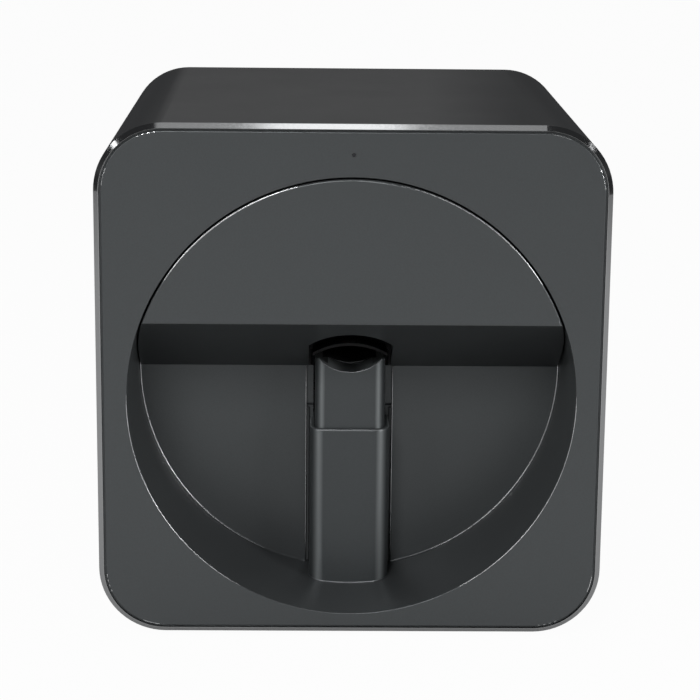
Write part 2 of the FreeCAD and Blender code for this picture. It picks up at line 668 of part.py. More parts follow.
def front_fascia():
    """Raised panel on a thinner flange, so that a shadow groove runs inside the bezel."""
    through = (-1, FASCIA_THICKNESS + 1)
    panel = casing_block(BEZEL_WIDTH + GROOVE_WIDTH, 0, FASCIA_THICKNESS).cut(recess_cone(0, *through))
    panel = panel.makeFillet(RIM_ROUND, edges_at_depth(panel, 0))
    plate = fused([panel, casing_block(BEZEL_WIDTH + FASCIA_GAP, GROOVE_DEPTH, FASCIA_THICKNESS)])
    holes = [recess_cone(0, *through), rod_y(LIGHT_HOLE_RADIUS, 0, *through, LIGHT_HEIGHT)]
    bosses = []
    for x, height in lug_places():
        bosses.append(rod_y(BOSS_RADIUS, x, FASCIA_THICKNESS, LUG_FRONT, height))
        holes.append(rod_y(PILOT_RADIUS, x, FASCIA_THICKNESS / 2, LUG_FRONT + 1, height))
    return plate.fuse(bosses).cut(holes)


def status_light_pipe():
    tip = rod_y(LIGHT_HOLE_RADIUS - SLIP, 0, LIGHT_RECESS, FASCIA_THICKNESS, LIGHT_HEIGHT)
    return fused([tip, rod_y(LIGHT_FLANGE_RADIUS, 0, FASCIA_THICKNESS, BEZEL_DEPTH, LIGHT_HEIGHT)])


def recess_bowl():
    """Round wall and floor of the hand recess, with the column's slot and the way in to the cartridge."""
    cup = recess_cone(-RECESS_WALL, FASCIA_THICKNESS, FLOOR_BACK)
    cup = cup.cut(recess_cone(0, FASCIA_THICKNESS - 1, RECESS_DEPTH))
    cup = cup.makeFillet(FLOOR_ROUND, edges_at_depth(cup, RECESS_DEPTH))
    top = HOOD_REAR_HEIGHT + FLOOR_LAP
    through = (RECESS_DEPTH - 1, FLOOR_BACK + 1)
    flare = wide_block(SLOT_HALF_WIDTH + RIM_ROUND, RECESS_DEPTH - 1, RECESS_DEPTH + RIM_ROUND, 0, top)
    flare = flare.makeChamfer(RIM_ROUND, uprights_at(flare, RECESS_DEPTH + RIM_ROUND))
    slot = fused([wide_block(SLOT_HALF_WIDTH, *through, 0, top), flare])
    slot = slot.common(recess_cone(0, *through))
    above = wide_block(ACCESS_RADIUS, *through, top, HEIGHT)
    access = rod_y(ACCESS_RADIUS, 0, *through, RECESS_HEIGHT).common(above)
    cup = cup.cut([slot, access])
    webs, holes = [], []
    web_start = RECESS_RADIUS + RECESS_WALL / 2
    for x, height in lug_places():
        web = Part.makeBox(LUG_CIRCLE - web_start, LUG_THICKNESS, 2 * LUG_RADIUS,
                           at(web_start, LUG_FRONT, RECESS_HEIGHT - LUG_RADIUS))
        angle = math.degrees(math.atan2(height - RECESS_HEIGHT, x))
        web.rotate(at(0, 0, RECESS_HEIGHT), -Y_AXIS, angle)
        webs += [web, rod_y(LUG_RADIUS, x, LUG_FRONT, LUG_BACK, height)]
        holes.append(rod_y(PILOT_RADIUS, x, LUG_FRONT - 1, LUG_BACK + 1, height))
    for x, height in guide_screw_places():
        holes.append(rod_y(PILOT_RADIUS, x, FLOOR_BACK - RECESS_WALL * 0.75, FLOOR_BACK + 1, height))
    return fused([cup] + webs).cut(holes)


def recess_screws():
    seat = FLOOR_BACK + GUIDE_WALL
    screws = [screw_y(x, LUG_BACK, height, BOSS_LENGTH + LUG_THICKNESS) for x, height in lug_places()]
    screws += [screw_y(x, seat, height, GUIDE_WALL + RECESS_WALL / 2) for x, height in guide_screw_places()]
    return group(screws)


def hood_catches():
    return group(both_sides(rod_y(MAGNET_RADIUS, MAGNET_X, CATCH_FRONT, RECESS_DEPTH, MAGNET_HEIGHT)))


def rubber_feet():
    feet = [rod_z(FOOT_RADIUS, x, depth, -FOOT_HEIGHT, 0) for x, depth in foot_places()]
    return group([foot.makeChamfer(FOOT_EDGE, edges_at_height(foot, -FOOT_HEIGHT)) for foot in feet])


def vent_slot(x, low, high):
    half = VENT_WIDTH / 2
    slot = block(x - half, x + half, COVER_FRONT - 1, COVER_BACK + 1, low, high)
    return rounded(slot, half * 0.9, Y_AXIS)


def rear_cover():
    plate = casing_block(WALL + SLIP, COVER_FRONT, COVER_BACK)
    through = (COVER_FRONT - 1, COVER_BACK + 1)
    holes = [rod_y(PILOT_RADIUS, x, *through, height) for x, height in cover_screw_places()]
    for row in VENT_HEIGHTS:
        for column in range(VENT_COLUMNS):
            x = VENT_PITCH * (column - (VENT_COLUMNS - 1) / 2)
            holes.append(vent_slot(x, row, row + VENT_LENGTH))
    for index in range(GRILLE_SLOTS):
        offset = GRILLE_PITCH * (index - (GRILLE_SLOTS - 1) / 2)
        reach = math.sqrt(GRILLE_RADIUS ** 2 - offset ** 2)
        holes.append(vent_slot(FAN_X + offset, FAN_HEIGHT - reach, FAN_HEIGHT + reach))
    holes.append(switch_block(SLIP, *through))
    holes.append(rod_y(INLET_NOSE + SLIP, INLET_X, *through, INLET_MIDDLE))
    half_width = USB_HALF_WIDTH + SLIP
    holes.append(block(USB_X - half_width, USB_X + half_width, *through, BOARD_TOP - SLIP,
                       BOARD_TOP + USB_HEIGHT + SLIP))
    return plate.cut(holes)


def rear_cover_screws():
    length = COVER_THICKNESS + COVER_BOSS_LENGTH / 2
    return group([screw_y(x, COVER_BACK, height, length) for x, height in cover_screw_places()])


# Hood

def slope_height(depth):
    """Underside of the hood at a depth."""
    return HOOD_EDGE_HEIGHT + (HOOD_REAR_HEIGHT - HOOD_EDGE_HEIGHT) * depth / RECESS_DEPTH


def above_slope(lift, d0, d1):
    """Everything in the recess above the hood's slope, moved up by a lift."""
    outline = [(d0, slope_height(d0) + lift), (d1, slope_height(d1) + lift), (d1, HEIGHT), (d0, HEIGHT)]
    return side_profile(outline, -RECESS_RADIUS, RECESS_RADIUS)


def hood():
    """Front plate, round side wall and sloped underside, with a tunnel over the finger."""
    envelope = recess_cone(HOOD_GAP, 0, HOOD_DEPTH).common(above_slope(0, -1, RECESS_DEPTH))
    envelope = envelope.makeFillet(HOOD_EDGE_ROUND, edges_at_depth(envelope, 0))
    slope = math.atan2(HOOD_EDGE_HEIGHT - HOOD_REAR_HEIGHT, RECESS_DEPTH)
    hollow = recess_cone(HOOD_GAP + HOOD_WALL, HOOD_WALL, RECESS_DEPTH)
    hollow = hollow.common(above_slope(HOOD_WALL / math.cos(slope), 0, RECESS_DEPTH))
    tunnel = arch(ARCH_HALF_WIDTH + TUNNEL_WALL, ARCH_CROWN_HEIGHT + TUNNEL_WALL, ARCH_RADIUS + TUNNEL_WALL,
                  HOOD_REAR_HEIGHT, 0, TUNNEL_DEPTH)
    post = rod_y(MAGNET_RADIUS + MAGNET_WALL, MAGNET_X, MAGNET_BACK - MAGNET_POST_LENGTH, MAGNET_BACK,
                 MAGNET_HEIGHT)
    socket = rod_y(MAGNET_RADIUS, MAGNET_X, MAGNET_FRONT, MAGNET_BACK + 1, MAGNET_HEIGHT)
    opening = arch(ARCH_HALF_WIDTH, ARCH_CROWN_HEIGHT, ARCH_RADIUS, HOOD_REAR_HEIGHT - 1, -1, RECESS_DEPTH)
    inner_parts = [piece.common(envelope) for piece in [tunnel] + both_sides(post)]
    return fused([envelope.cut(hollow)] + inner_parts).cut([opening] + both_sides(socket))


def hood_magnets():
    return group(both_sides(rod_y(MAGNET_RADIUS, MAGNET_X, MAGNET_FRONT, MAGNET_BACK, MAGNET_HEIGHT)))


# Grip sleeve and finger rest

def grip_sleeve():
    outer = front_rounded_block(SLEEVE_HALF_WIDTH, SLEEVE_FRONT, GUIDE_FRONT, 0, SLEEVE_TOP_HEIGHT,
                                SLEEVE_CORNER)
    rim = [edge for edge in edges_at_height(outer, SLEEVE_TOP_HEIGHT)
           if edge.BoundBox.YMin < FRONT_Y + GUIDE_FRONT - 1]
    outer = outer.makeFillet(SLEEVE_EDGE_ROUND, rim)
    cavity = front_rounded_block(SLEEVE_INNER, SLEEVE_CAVITY_FRONT, GUIDE_FRONT + 1, -1,
                                 SLEEVE_TOP_HEIGHT + 1, REST_CORNER)
    return outer.cut(cavity).common(recess_cone(SLIP, SLEEVE_FRONT - 1, GUIDE_FRONT))


def scoop(radius, d0, d1):
    return rod_y(radius, 0, d0, d1, SCOOP_AXIS)


def finger_rest():
    """Hollow column that slides in the grip sleeve, with the finger's tray behind its top."""
    column = front_rounded_block(REST_HALF_WIDTH, REST_FRONT, REST_BACK, REST_FOOT_HEIGHT, REST_TOP_HEIGHT,
                                 REST_CORNER)
    hollow = front_rounded_block(REST_INNER, REST_FRONT + REST_WALL, REST_BACK + 1, REST_FOOT_HEIGHT - 1,
                                 REST_CEILING, REST_CORNER - REST_WALL)
    tray = wide_block(REST_HALF_WIDTH, REST_BACK, TRAY_BACK, TRAY_UNDERSIDE, TRAY_TOP)
    lowered = wide_block(REST_HALF_WIDTH + 1, LIP_BACK, TRAY_BACK + 1, TRAY_TOP, REST_TOP_HEIGHT + 1)
    front_scoop = scoop(SCOOP_RADIUS, REST_FRONT - 1, PAD_FRONT)
    pad_scoop = scoop(PAD_SEAT, PAD_FRONT, TRAY_BACK + 1)
    return fused([column.cut(hollow), tray]).cut([lowered, front_scoop, pad_scoop])


def finger_pad():
    front = PAD_FRONT + PAD_GAP
    hollow = scoop(SCOOP_RADIUS - PAD_PROUD, front - 1, TRAY_BACK + 1)
    ring = scoop(PAD_SEAT - PAD_GAP, front, TRAY_BACK).cut(hollow)
    return ring.common(wide_block(REST_HALF_WIDTH, front, TRAY_BACK, REST_CEILING, TRAY_TOP))


def lift_carrier():
    body = wide_block(REST_INNER, CARRIER_FRONT, CARRIER_BACK, CARRIER_FOOT, CARRIER_TOP)
    return body.cut([rod_z(ROD_RADIUS + RUNNING, x, depth, CARRIER_FOOT - 1, CARRIER_TOP + 1)
                     for x, depth in guide_rod_places()])


def lift_spring():
    """Coil of tilted half rings that meet end to end."""
    foot = SHELF_TOP + SPRING_WIRE
    rise = (CARRIER_FOOT - SHELF_TOP - 2 * SPRING_WIRE) / (2 * SPRING_TURNS)
    reach = math.hypot(SPRING_RADIUS, rise / 2)
    tilt = math.degrees(math.atan2(rise / 2, SPRING_RADIUS))
    rings = []
    for index in range(2 * SPRING_TURNS):
        ring = Part.makeTorus(reach, SPRING_WIRE, ORIGIN, Z_AXIS, -180, 180, 180)
        ring.rotate(ORIGIN, Y_AXIS, tilt)
        ring.rotate(ORIGIN, Z_AXIS, 180 * index)
        rings.append(ring.translated(at(0, ROD_DEPTH, foot + rise * (index + 0.5))))
    return fused(rings)


def lift_guide():
    """Channel behind the recess floor, with the shelf that holds the guide rods and the spring."""
    back = wide_block(GUIDE_OUTER, GUIDE_FRONT, GUIDE_BACK, BASE_TOP, GUIDE_TOP_HEIGHT)
    side = block(GUIDE_INNER, GUIDE_OUTER, FLOOR_BACK, GUIDE_BACK, SHELF_HEIGHT, BRIDGE_FOOT_HEIGHT)
    low, high = GUIDE_SCREW_HEIGHTS
    flange = block(GUIDE_OUTER, GUIDE_OUTER + GUIDE_FLANGE, FLOOR_BACK, FLOOR_BACK + GUIDE_WALL,
                   low - GUIDE_FLANGE, high + GUIDE_FLANGE)
    shelf = wide_block(SLEEVE_INNER - SHELF_SIDE_GAP, CARRIER_FRONT, GUIDE_FRONT, SHELF_HEIGHT, SHELF_TOP)
    cheek = block(REST_HALF_WIDTH + SLOT_CHEEK_GAP, GUIDE_INNER, FLOOR_BACK,
                  FLOOR_BACK + SLOT_CHEEK_THICKNESS, SLOT_CHEEK_HEIGHT, BRIDGE_FOOT_HEIGHT)
    lower_front = [edge for edge in edges_at_height(cheek, SLOT_CHEEK_HEIGHT)
                   if abs(edge.BoundBox.YMax - FRONT_Y - FLOOR_BACK) < 1e-3]
    cheek = cheek.makeFillet(SLOT_CHEEK_ROUND, lower_front)
    holes = [rod_z(ROD_RADIUS + RUNNING, x, depth, SHELF_TOP - ROD_SEAT, SHELF_TOP + 1)
             for x, depth in guide_rod_places()]
    holes += [rod_y(PILOT_RADIUS, x, FLOOR_BACK - 1, FLOOR_BACK + GUIDE_WALL + 1, height)
              for x, height in guide_screw_places()]
    return fused([back, shelf] + both_sides(side) + both_sides(flange) + both_sides(cheek)).cut(holes)


def guide_rods():
    foot = SHELF_TOP - ROD_SEAT
    return group([rod_z(ROD_RADIUS, x, depth, foot, ROD_TOP) for x, depth in guide_rod_places()])


def finger_limit_arch():
    """Bridge behind the recess floor with a tongue that reaches forwards over the finger."""
    bridge = wide_block(BRIDGE_HALF_WIDTH, FLOOR_BACK, BRIDGE_BACK, BRIDGE_FOOT_HEIGHT, BRIDGE_TOP_HEIGHT)
    tongue = arch(LIMIT_HALF_WIDTH, LIMIT_CROWN_HEIGHT + LIMIT_THICKNESS, LIMIT_RADIUS + LIMIT_THICKNESS,
                  BRIDGE_FOOT_HEIGHT, LIMIT_FRONT, BRIDGE_BACK)
    passage = arch(LIMIT_HALF_WIDTH + 1, LIMIT_CROWN_HEIGHT, LIMIT_RADIUS, BRIDGE_FOOT_HEIGHT - 1,
                   LIMIT_FRONT - 1, BRIDGE_BACK + 1)
    return fused([bridge, tongue]).cut(passage)


def light_bar():
    back = FLOOR_BACK + LIGHT_BAR_DEPTH
    return wide_block(LIGHT_BAR_HALF_WIDTH, FLOOR_BACK, back, BRIDGE_TOP_HEIGHT, BAR_TOP)


# Chassis

def base_plate():
    plate = wide_block(FRAME_OUTER, BASE_PLATE_FRONT, CHASSIS_BACK, BASE_PLATE_HEIGHT, BASE_TOP)
    return plate.cut([rod_z(PILOT_RADIUS, x, depth, BASE_PLATE_HEIGHT - 1, BASE_TOP + 1)
                      for x, depth in chassis_screw_places()])


def side_frames():
    """Right-hand plate with its foot flange, and the same on the left."""
    plate = block(FRAME_INNER, FRAME_OUTER, CHASSIS_FRONT, CHASSIS_BACK, BASE_TOP, FRAME_TOP_HEIGHT)
    flange = block(FLANGE_INNER, FRAME_INNER, CHASSIS_FRONT, CHASSIS_BACK, BASE_TOP, FLANGE_TOP)
    holes = [rod_z(PILOT_RADIUS, abs(x), depth, BASE_TOP - 1, FLANGE_TOP + 1)
             for x, depth in chassis_screw_places()]
    return group(both_sides(fused([plate, flange]).cut(holes)))


def crossbar(d0, d1):
    """Bar between the side frames, with a hole for the lead screw."""
    bar = wide_block(FRAME_INNER, d0, d1, CROSSBAR_FOOT_HEIGHT, CROSSBAR_TOP_HEIGHT)
    return bar.cut(rod_y(SCREW_BORE, SCREW_X, d0 - 1, d1 + 1, SCREW_HEIGHT))


def front_crossbar():
    return crossbar(CHASSIS_FRONT, FRONT_BAR_BACK)


def rear_crossbar():
    return crossbar(REAR_BAR_FRONT, REAR_BAR_BACK)


def chassis_screws():
    length = FLANGE_TOP - WALL
    return group([screw_z(x, depth, FLANGE_TOP, length) for x, depth in chassis_screw_places()])


def mid_deck():
    return wide_block(FRAME_INNER, DECK_FRONT, DECK_BACK, DECK_HEIGHT, DECK_TOP)


def capping_station():
    front, back = HOME_DEPTH - CAP_STAND_HALF_LENGTH, HOME_DEPTH + CAP_STAND_HALF_LENGTH
    stand = wide_block(CAP_STAND_HALF_WIDTH, front, back, DECK_TOP, CAP_STAND_TOP)
    return rounded(stand, CAP_STAND_CORNER, Z_AXIS)


def nozzle_cap():
    front, back = HOME_DEPTH - CAP_HALF_LENGTH, HOME_DEPTH + CAP_HALF_LENGTH
    top = CAP_STAND_TOP + CAP_HEIGHT
    outer = wide_block(CAP_HALF_WIDTH, front, back, CAP_STAND_TOP, top)
    inner = wide_block(CAP_HALF_WIDTH - CAP_WALL, front + CAP_WALL, back - CAP_WALL,
                       CAP_STAND_TOP + CAP_WALL, top + 1)
    return outer.cut(inner)


# Y stage

def y_rails():
    front = SUPPORT_FRONT + SHEET
    back = SUPPORT_BACK + SUPPORT_LENGTH - SHEET
    return group(both_sides(rod_y(RAIL_RADIUS, RAIL_X, front, back, RAIL_HEIGHT)))


def rail_supports():
    """Blocks on the side frames. Each has a blind hole for its end of a rail."""
    low, high = RAIL_HEIGHT - SUPPORT_HALF_HEIGHT, RAIL_HEIGHT + SUPPORT_HALF_HEIGHT
    reach = SUPPORT_LENGTH - SHEET + 1
    supports = []
    for front, hole_front in ((SUPPORT_FRONT, SUPPORT_FRONT + SHEET), (SUPPORT_BACK, SUPPORT_BACK - 1)):
        body = block(BLOCK_INNER, FRAME_INNER, front, front + SUPPORT_LENGTH, low, high)
        hole = rod_y(RAIL_BORE, RAIL_X, hole_front, hole_front + reach, RAIL_HEIGHT)
        supports += both_sides(body.cut(hole))
    return group(supports)


def gantry_frame():
    """Back plate, side cheeks and bearing blocks that ride on the two rails."""
    plate = wide_block(BLOCK_INNER, PLATE_FRONT, PLATE_BACK, GANTRY_FOOT, GANTRY_TOP)
    cheek = block(CHEEK_INNER, BLOCK_INNER, BLOCK_FRONT, PLATE_BACK, GANTRY_FOOT, GANTRY_TOP)
    housing = block(BLOCK_INNER, BLOCK_OUTER, BLOCK_FRONT, PLATE_BACK, RAIL_HEIGHT - HOUSING_HALF,
                    RAIL_HEIGHT + HOUSING_HALF)
    arm = block(SCREW_X - NUT_ARM_HALF_WIDTH, SCREW_X + NUT_ARM_HALF_WIDTH, NUT_ARM_FRONT, PLATE_BACK,
                GANTRY_TOP, NUT_ARM_TOP)
    axle = rod_y(AXLE_RADIUS, -PULLEY_X, PULLEY_FRONT, PLATE_FRONT, GANTRY_HEIGHT)
    bearing_bore = rod_y(BUSHING_RADIUS + RUNNING, RAIL_X, BLOCK_FRONT - 1, PLATE_BACK + 1, RAIL_HEIGHT)
    nut_bore = rod_y(NUT_RADIUS + RUNNING, SCREW_X, NUT_ARM_FRONT - 1, PLATE_BACK + 1, SCREW_HEIGHT)
    shaft_hole = rod_y(AXLE_RADIUS + BELT_GAP, PULLEY_X, PLATE_FRONT - 1, PLATE_BACK + 1, GANTRY_HEIGHT)
    body = fused([plate, arm, axle] + both_sides(cheek) + both_sides(housing))
    return body.cut(both_sides(bearing_bore) + [nut_bore, shaft_hole])


def y_bushings():
    tube = rod_y(BUSHING_RADIUS, RAIL_X, BLOCK_FRONT, PLATE_BACK, RAIL_HEIGHT)
    bore = rod_y(RAIL_BORE, RAIL_X, BLOCK_FRONT - 1, PLATE_BACK + 1, RAIL_HEIGHT)
    return group(both_sides(tube.cut(bore)))


def lead_nut():
    front = NUT_ARM_FRONT - 1
    back = front + NUT_LENGTH
    bore = rod_y(SCREW_BORE, SCREW_X, front - 1, back + 1, SCREW_HEIGHT)
    return rod_y(NUT_RADIUS, SCREW_X, front, back, SCREW_HEIGHT).cut(bore)


def lead_screw():
    return rod_y(SCREW_RADIUS, SCREW_X, CHASSIS_FRONT, REAR_BAR_BACK - BELT_GAP, SCREW_HEIGHT)


def y_motor():
    return rod_y(Y_MOTOR_RADIUS, SCREW_X, REAR_BAR_BACK, COVER_FRONT - Y_MOTOR_GAP, SCREW_HEIGHT)


def x_rods():
    return group([rod_x(X_ROD_RADIUS, -CHEEK_INNER, CHEEK_INNER, X_ROD_DEPTH, height)
                  for height in X_ROD_HEIGHTS])


def x_motor():
    can = rod_y(MOTOR_RADIUS, PULLEY_X, PLATE_BACK, MOTOR_BACK, GANTRY_HEIGHT)
    return can.cut(rod_y(AXLE_RADIUS + BELT_GAP, PULLEY_X, PLATE_BACK - 1, SHAFT_BACK, GANTRY_HEIGHT))


def belt_loop(radius, d0, d1):
    middle = wide_block(PULLEY_X, d0, d1, GANTRY_HEIGHT - radius, GANTRY_HEIGHT + radius)
    return fused([middle] + both_sides(rod_y(radius, PULLEY_X, d0, d1, GANTRY_HEIGHT)))


def x_belt():
    inner = belt_loop(BELT_INNER, BELT_FRONT - 1, BELT_BACK + 1)
    return belt_loop(BELT_OUTER, BELT_FRONT, BELT_BACK).cut(inner)


def pulley(x):
    """Drum with a flange on each side of the belt."""
    drum = rod_y(BELT_INNER - BELT_GAP, x, PULLEY_FRONT, PULLEY_BACK, GANTRY_HEIGHT)
    flanges = [rod_y(FLANGE_RADIUS, x, depth, depth + FLANGE_THICKNESS, GANTRY_HEIGHT)
               for depth in (PULLEY_FRONT, PULLEY_BACK - FLANGE_THICKNESS)]
    return fused([drum] + flanges)


def x_drive_pulley():
    shaft = rod_y(AXLE_RADIUS, PULLEY_X, BELT_FRONT, SHAFT_BACK - BELT_GAP, GANTRY_HEIGHT)
    return fused([pulley(PULLEY_X), shaft])


def x_idler_pulley():
    bore = rod_y(AXLE_RADIUS + RUNNING, -PULLEY_X, PULLEY_FRONT - 1, PULLEY_BACK + 1, GANTRY_HEIGHT)
    return pulley(-PULLEY_X).cut(bore)


# Carriage

def carriage_frame():
    """Cradle for the cartridge, with a bearing block behind it and a clamp round the lower belt run."""
    half, bay_half = CRADLE_HALF_WIDTH, CRADLE_HALF_WIDTH - CRADLE_WALL
    bay_front = CRADLE_FRONT + CRADLE_WALL
    bearing = wide_block(half, BEARING_FRONT, BEARING_BACK, GANTRY_FOOT, GANTRY_TOP)
    tub = wide_block(half, CRADLE_FRONT, BEARING_FRONT, CRADLE_FLOOR_HEIGHT, CRADLE_TOP_HEIGHT)
    bay = wide_block(bay_half, bay_front, BEARING_FRONT, CRADLE_FLOOR_TOP, CRADLE_TOP_HEIGHT + 1)
    window = wide_block(bay_half, CRADLE_FRONT - 1, bay_front + 1, CRADLE_LIP_HEIGHT, CRADLE_TOP_HEIGHT + 1)
    snout_reach = SNOUT_HALF_LENGTH + SNOUT_GAP
    snout_hole = wide_block(SNOUT_HALF_WIDTH + SNOUT_GAP, HOME_DEPTH - snout_reach,
                            HOME_DEPTH + snout_reach, CRADLE_FLOOR_HEIGHT - 1, CRADLE_FLOOR_TOP + 1)
    run = GANTRY_HEIGHT - BELT_RADIUS
    reach = BELT_THICKNESS / 2 + BELT_GAP
    jaws = [wide_block(CLAMP_HALF_WIDTH, BEARING_BACK, BELT_BACK - BELT_GAP, low, low + CRADLE_WALL)
            for low in (run - reach - CRADLE_WALL, run + reach)]
    ear_inner = LATCH_HALF_WIDTH + SLIP
    ear = block(ear_inner, ear_inner + EAR_THICKNESS, BEARING_FRONT, BEARING_FRONT + EAR_LENGTH, GANTRY_TOP,
                GANTRY_TOP + EAR_HEIGHT)
    bores = [rod_x(SLIM_BUSHING_RADIUS + RUNNING, -half - 1, half + 1, X_ROD_DEPTH, height)
             for height in X_ROD_HEIGHTS]
    bores.append(rod_x(TRUNNION_RADIUS + RUNNING, -half, half, LATCH_PIVOT_DEPTH, LATCH_PIVOT_HEIGHT))
    return fused([bearing, tub.cut([bay, window, snout_hole])] + jaws + both_sides(ear)).cut(bores)


def carriage_bushings():
    half = CRADLE_HALF_WIDTH
    tubes = []
    for height in X_ROD_HEIGHTS:
        bore = rod_x(X_ROD_RADIUS + RUNNING, -half - 1, half + 1, X_ROD_DEPTH, height)
        tubes.append(rod_x(SLIM_BUSHING_RADIUS, -half, half, X_ROD_DEPTH, height).cut(bore))
    return group(tubes)


def ink_cartridge():
    half = CRADLE_HALF_WIDTH - CRADLE_WALL - CARTRIDGE_GAP
    front = CRADLE_FRONT + CRADLE_WALL + CARTRIDGE_GAP
    body = wide_block(half, front, BEARING_FRONT - CARTRIDGE_GAP, CRADLE_FLOOR_TOP, CARTRIDGE_TOP)
    snout = wide_block(SNOUT_HALF_WIDTH, HOME_DEPTH - SNOUT_HALF_LENGTH, HOME_DEPTH + SNOUT_HALF_LENGTH,
                       NOZZLE_HEIGHT, CRADLE_FLOOR_TOP)
    return fused([rounded(body, CARTRIDGE_CORNER, Z_AXIS), snout])


def cartridge_latch():
    reach = LATCH_HALF_WIDTH + EAR_THICKNESS
    depth, height = LATCH_PIVOT_DEPTH, LATCH_PIVOT_HEIGHT
    flap = wide_block(LATCH_HALF_WIDTH, depth - LATCH_LENGTH, depth, LATCH_UNDERSIDE, LATCH_TOP)
    barrel = rod_x(BARREL_RADIUS, -LATCH_HALF_WIDTH, LATCH_HALF_WIDTH, depth, height)
    return fused([flap, barrel, rod_x(TRUNNION_RADIUS, -reach, reach, depth, height)])


# Camera

def camera_bracket():
    return wide_block(BRACKET_HALF_WIDTH, FRONT_BAR_BACK, CAMERA_BACK, CAMERA_HEIGHT, CAMERA_HEIGHT + SHEET)


def camera_module():
    return wide_block(CAMERA_HALF_SIZE, CAMERA_DEPTH - CAMERA_HALF_SIZE, CAMERA_BACK,
                      CAMERA_HEIGHT - CAMERA_BOARD, CAMERA_HEIGHT)


def camera_lens():
    top = CAMERA_HEIGHT - CAMERA_BOARD
    barrel = rod_z(LENS_RADIUS, 0, CAMERA_DEPTH, top - LENS_LENGTH, top)
    return barrel.makeChamfer(LENS_EDGE, edges_at_height(barrel, top - LENS_LENGTH))


# Electronics

def board(span):
    left, right = span
    return block(left, right, BOARD_FRONT, BOARD_BACK, BOARD_HEIGHT, BOARD_TOP)


def main_board():
    return board(MAIN_BOARD_SPAN)


def power_board():
    return board(POWER_BOARD_SPAN)


def board_standoffs():
    depths = (BOARD_FRONT + STANDOFF_INSET, BOARD_BACK - STANDOFF_INSET)
    posts = []
    for left, right in (MAIN_BOARD_SPAN, POWER_BOARD_SPAN):
        for x in (left + STANDOFF_INSET, right - STANDOFF_INSET):
            posts += [rod_z(STANDOFF_RADIUS, x, depth, BASE_TOP, BOARD_HEIGHT) for depth in depths]
    return group(posts)


def on_board(x, depth, size):
    """Square component on a board, placed by its left front corner."""
    width, length, height = size
    return block(x, x + width, depth, depth + length, BOARD_TOP, BOARD_TOP + height)


def can_on_board(x, depth, size):
    """Round component on a board, placed by its middle."""
    radius, height = size
    return rod_z(radius, x, depth, BOARD_TOP, BOARD_TOP + height)


def main_board_components():
    left = MAIN_BOARD_SPAN[0]
    sink_x, sink_depth = left + HEAT_SINK_PLACE[0], BOARD_FRONT + HEAT_SINK_PLACE[1]
    width, length, height = HEAT_SINK_SIZE
    fin_pitch = width / HEAT_SINK_FINS
    grooves = []
    for index in range(1, HEAT_SINK_FINS):
        x = sink_x + fin_pitch * index
        grooves.append(block(x - fin_pitch / 4, x + fin_pitch / 4, sink_depth - 1, sink_depth + length + 1,
                             BOARD_TOP + SHEET, BOARD_TOP + height + 1))
    shapes = [on_board(sink_x, sink_depth, HEAT_SINK_SIZE).cut(grooves)]
    shapes.append(on_board(left + RADIO_PLACE[0], BOARD_FRONT + RADIO_PLACE[1], RADIO_SIZE))
    shapes += [on_board(left + x, BOARD_FRONT + depth, CHIP_SIZE) for x, depth in CHIP_PLACES]
    shapes += [on_board(left + x, BOARD_FRONT + depth, SOCKET_SIZE) for x, depth in SOCKET_PLACES]
    shapes += [can_on_board(left + x, BOARD_FRONT + depth, SMALL_CAN_SIZE) for x, depth in SMALL_CAN_PLACES]
    return group(shapes)


def power_board_components():
    left = POWER_BOARD_LEFT
    shapes = [on_board(left + COIL_PLACE[0], BOARD_FRONT + COIL_PLACE[1], COIL_SIZE)]
    shapes += [can_on_board(left + x, BOARD_FRONT + depth, LARGE_CAN_SIZE) for x, depth in LARGE_CAN_PLACES]
    shapes += [on_board(left + x, BOARD_FRONT + depth, REGULATOR_SIZE) for x, depth in REGULATOR_PLACES]
    return group(shapes)


def dc_inlet():
    body = block(INLET_X - INLET_HALF_WIDTH, INLET_X + INLET_HALF_WIDTH, INLET_FRONT, COVER_FRONT,
                 BOARD_TOP, BOARD_TOP + INLET_HEIGHT)
    nose = rod_y(INLET_NOSE, INLET_X, COVER_FRONT, COVER_BACK, INLET_MIDDLE)
    bore = rod_y(INLET_BORE, INLET_X, INLET_FRONT + SHEET, COVER_BACK + 1, INLET_MIDDLE)
    pin = rod_y(INLET_PIN, INLET_X, INLET_FRONT + SHEET, COVER_BACK - 1, INLET_MIDDLE)
    return fused([fused([body, nose]).cut(bore), pin])


def usb_port():
    """Flat rounded tube with a tongue in its mouth."""
    front = COVER_BACK - USB_LENGTH
    radius = USB_HEIGHT / 2 - SLIP
    half, bore_half = USB_HALF_WIDTH, USB_HALF_WIDTH - USB_WALL
    middle = BOARD_TOP + USB_HEIGHT / 2
    shell = block(USB_X - half, USB_X + half, front, COVER_BACK, BOARD_TOP, BOARD_TOP + USB_HEIGHT)
    mouth = block(USB_X - bore_half, USB_X + bore_half, front + 1, COVER_BACK + 1, BOARD_TOP + USB_WALL,
                  BOARD_TOP + USB_HEIGHT - USB_WALL)
    hollow = rounded(shell, radius, Y_AXIS).cut(rounded(mouth, radius - USB_WALL, Y_AXIS))
    tongue = block(USB_X - USB_TONGUE_HALF_WIDTH, USB_X + USB_TONGUE_HALF_WIDTH, front + 1, COVER_BACK - 1,
                   middle - USB_TONGUE_HALF_HEIGHT, middle + USB_TONGUE_HALF_HEIGHT)
    return fused([hollow, tongue])


def switch_block(margin, d0, d1):
    """Box round the switch's axis, wider than its body by a margin."""
    half_width, half_height = SWITCH_HALF_WIDTH + margin, SWITCH_HALF_HEIGHT + margin
    return block(SWITCH_X - half_width, SWITCH_X + half_width, d0, d1, SWITCH_HEIGHT - half_height,
                 SWITCH_HEIGHT + half_height)


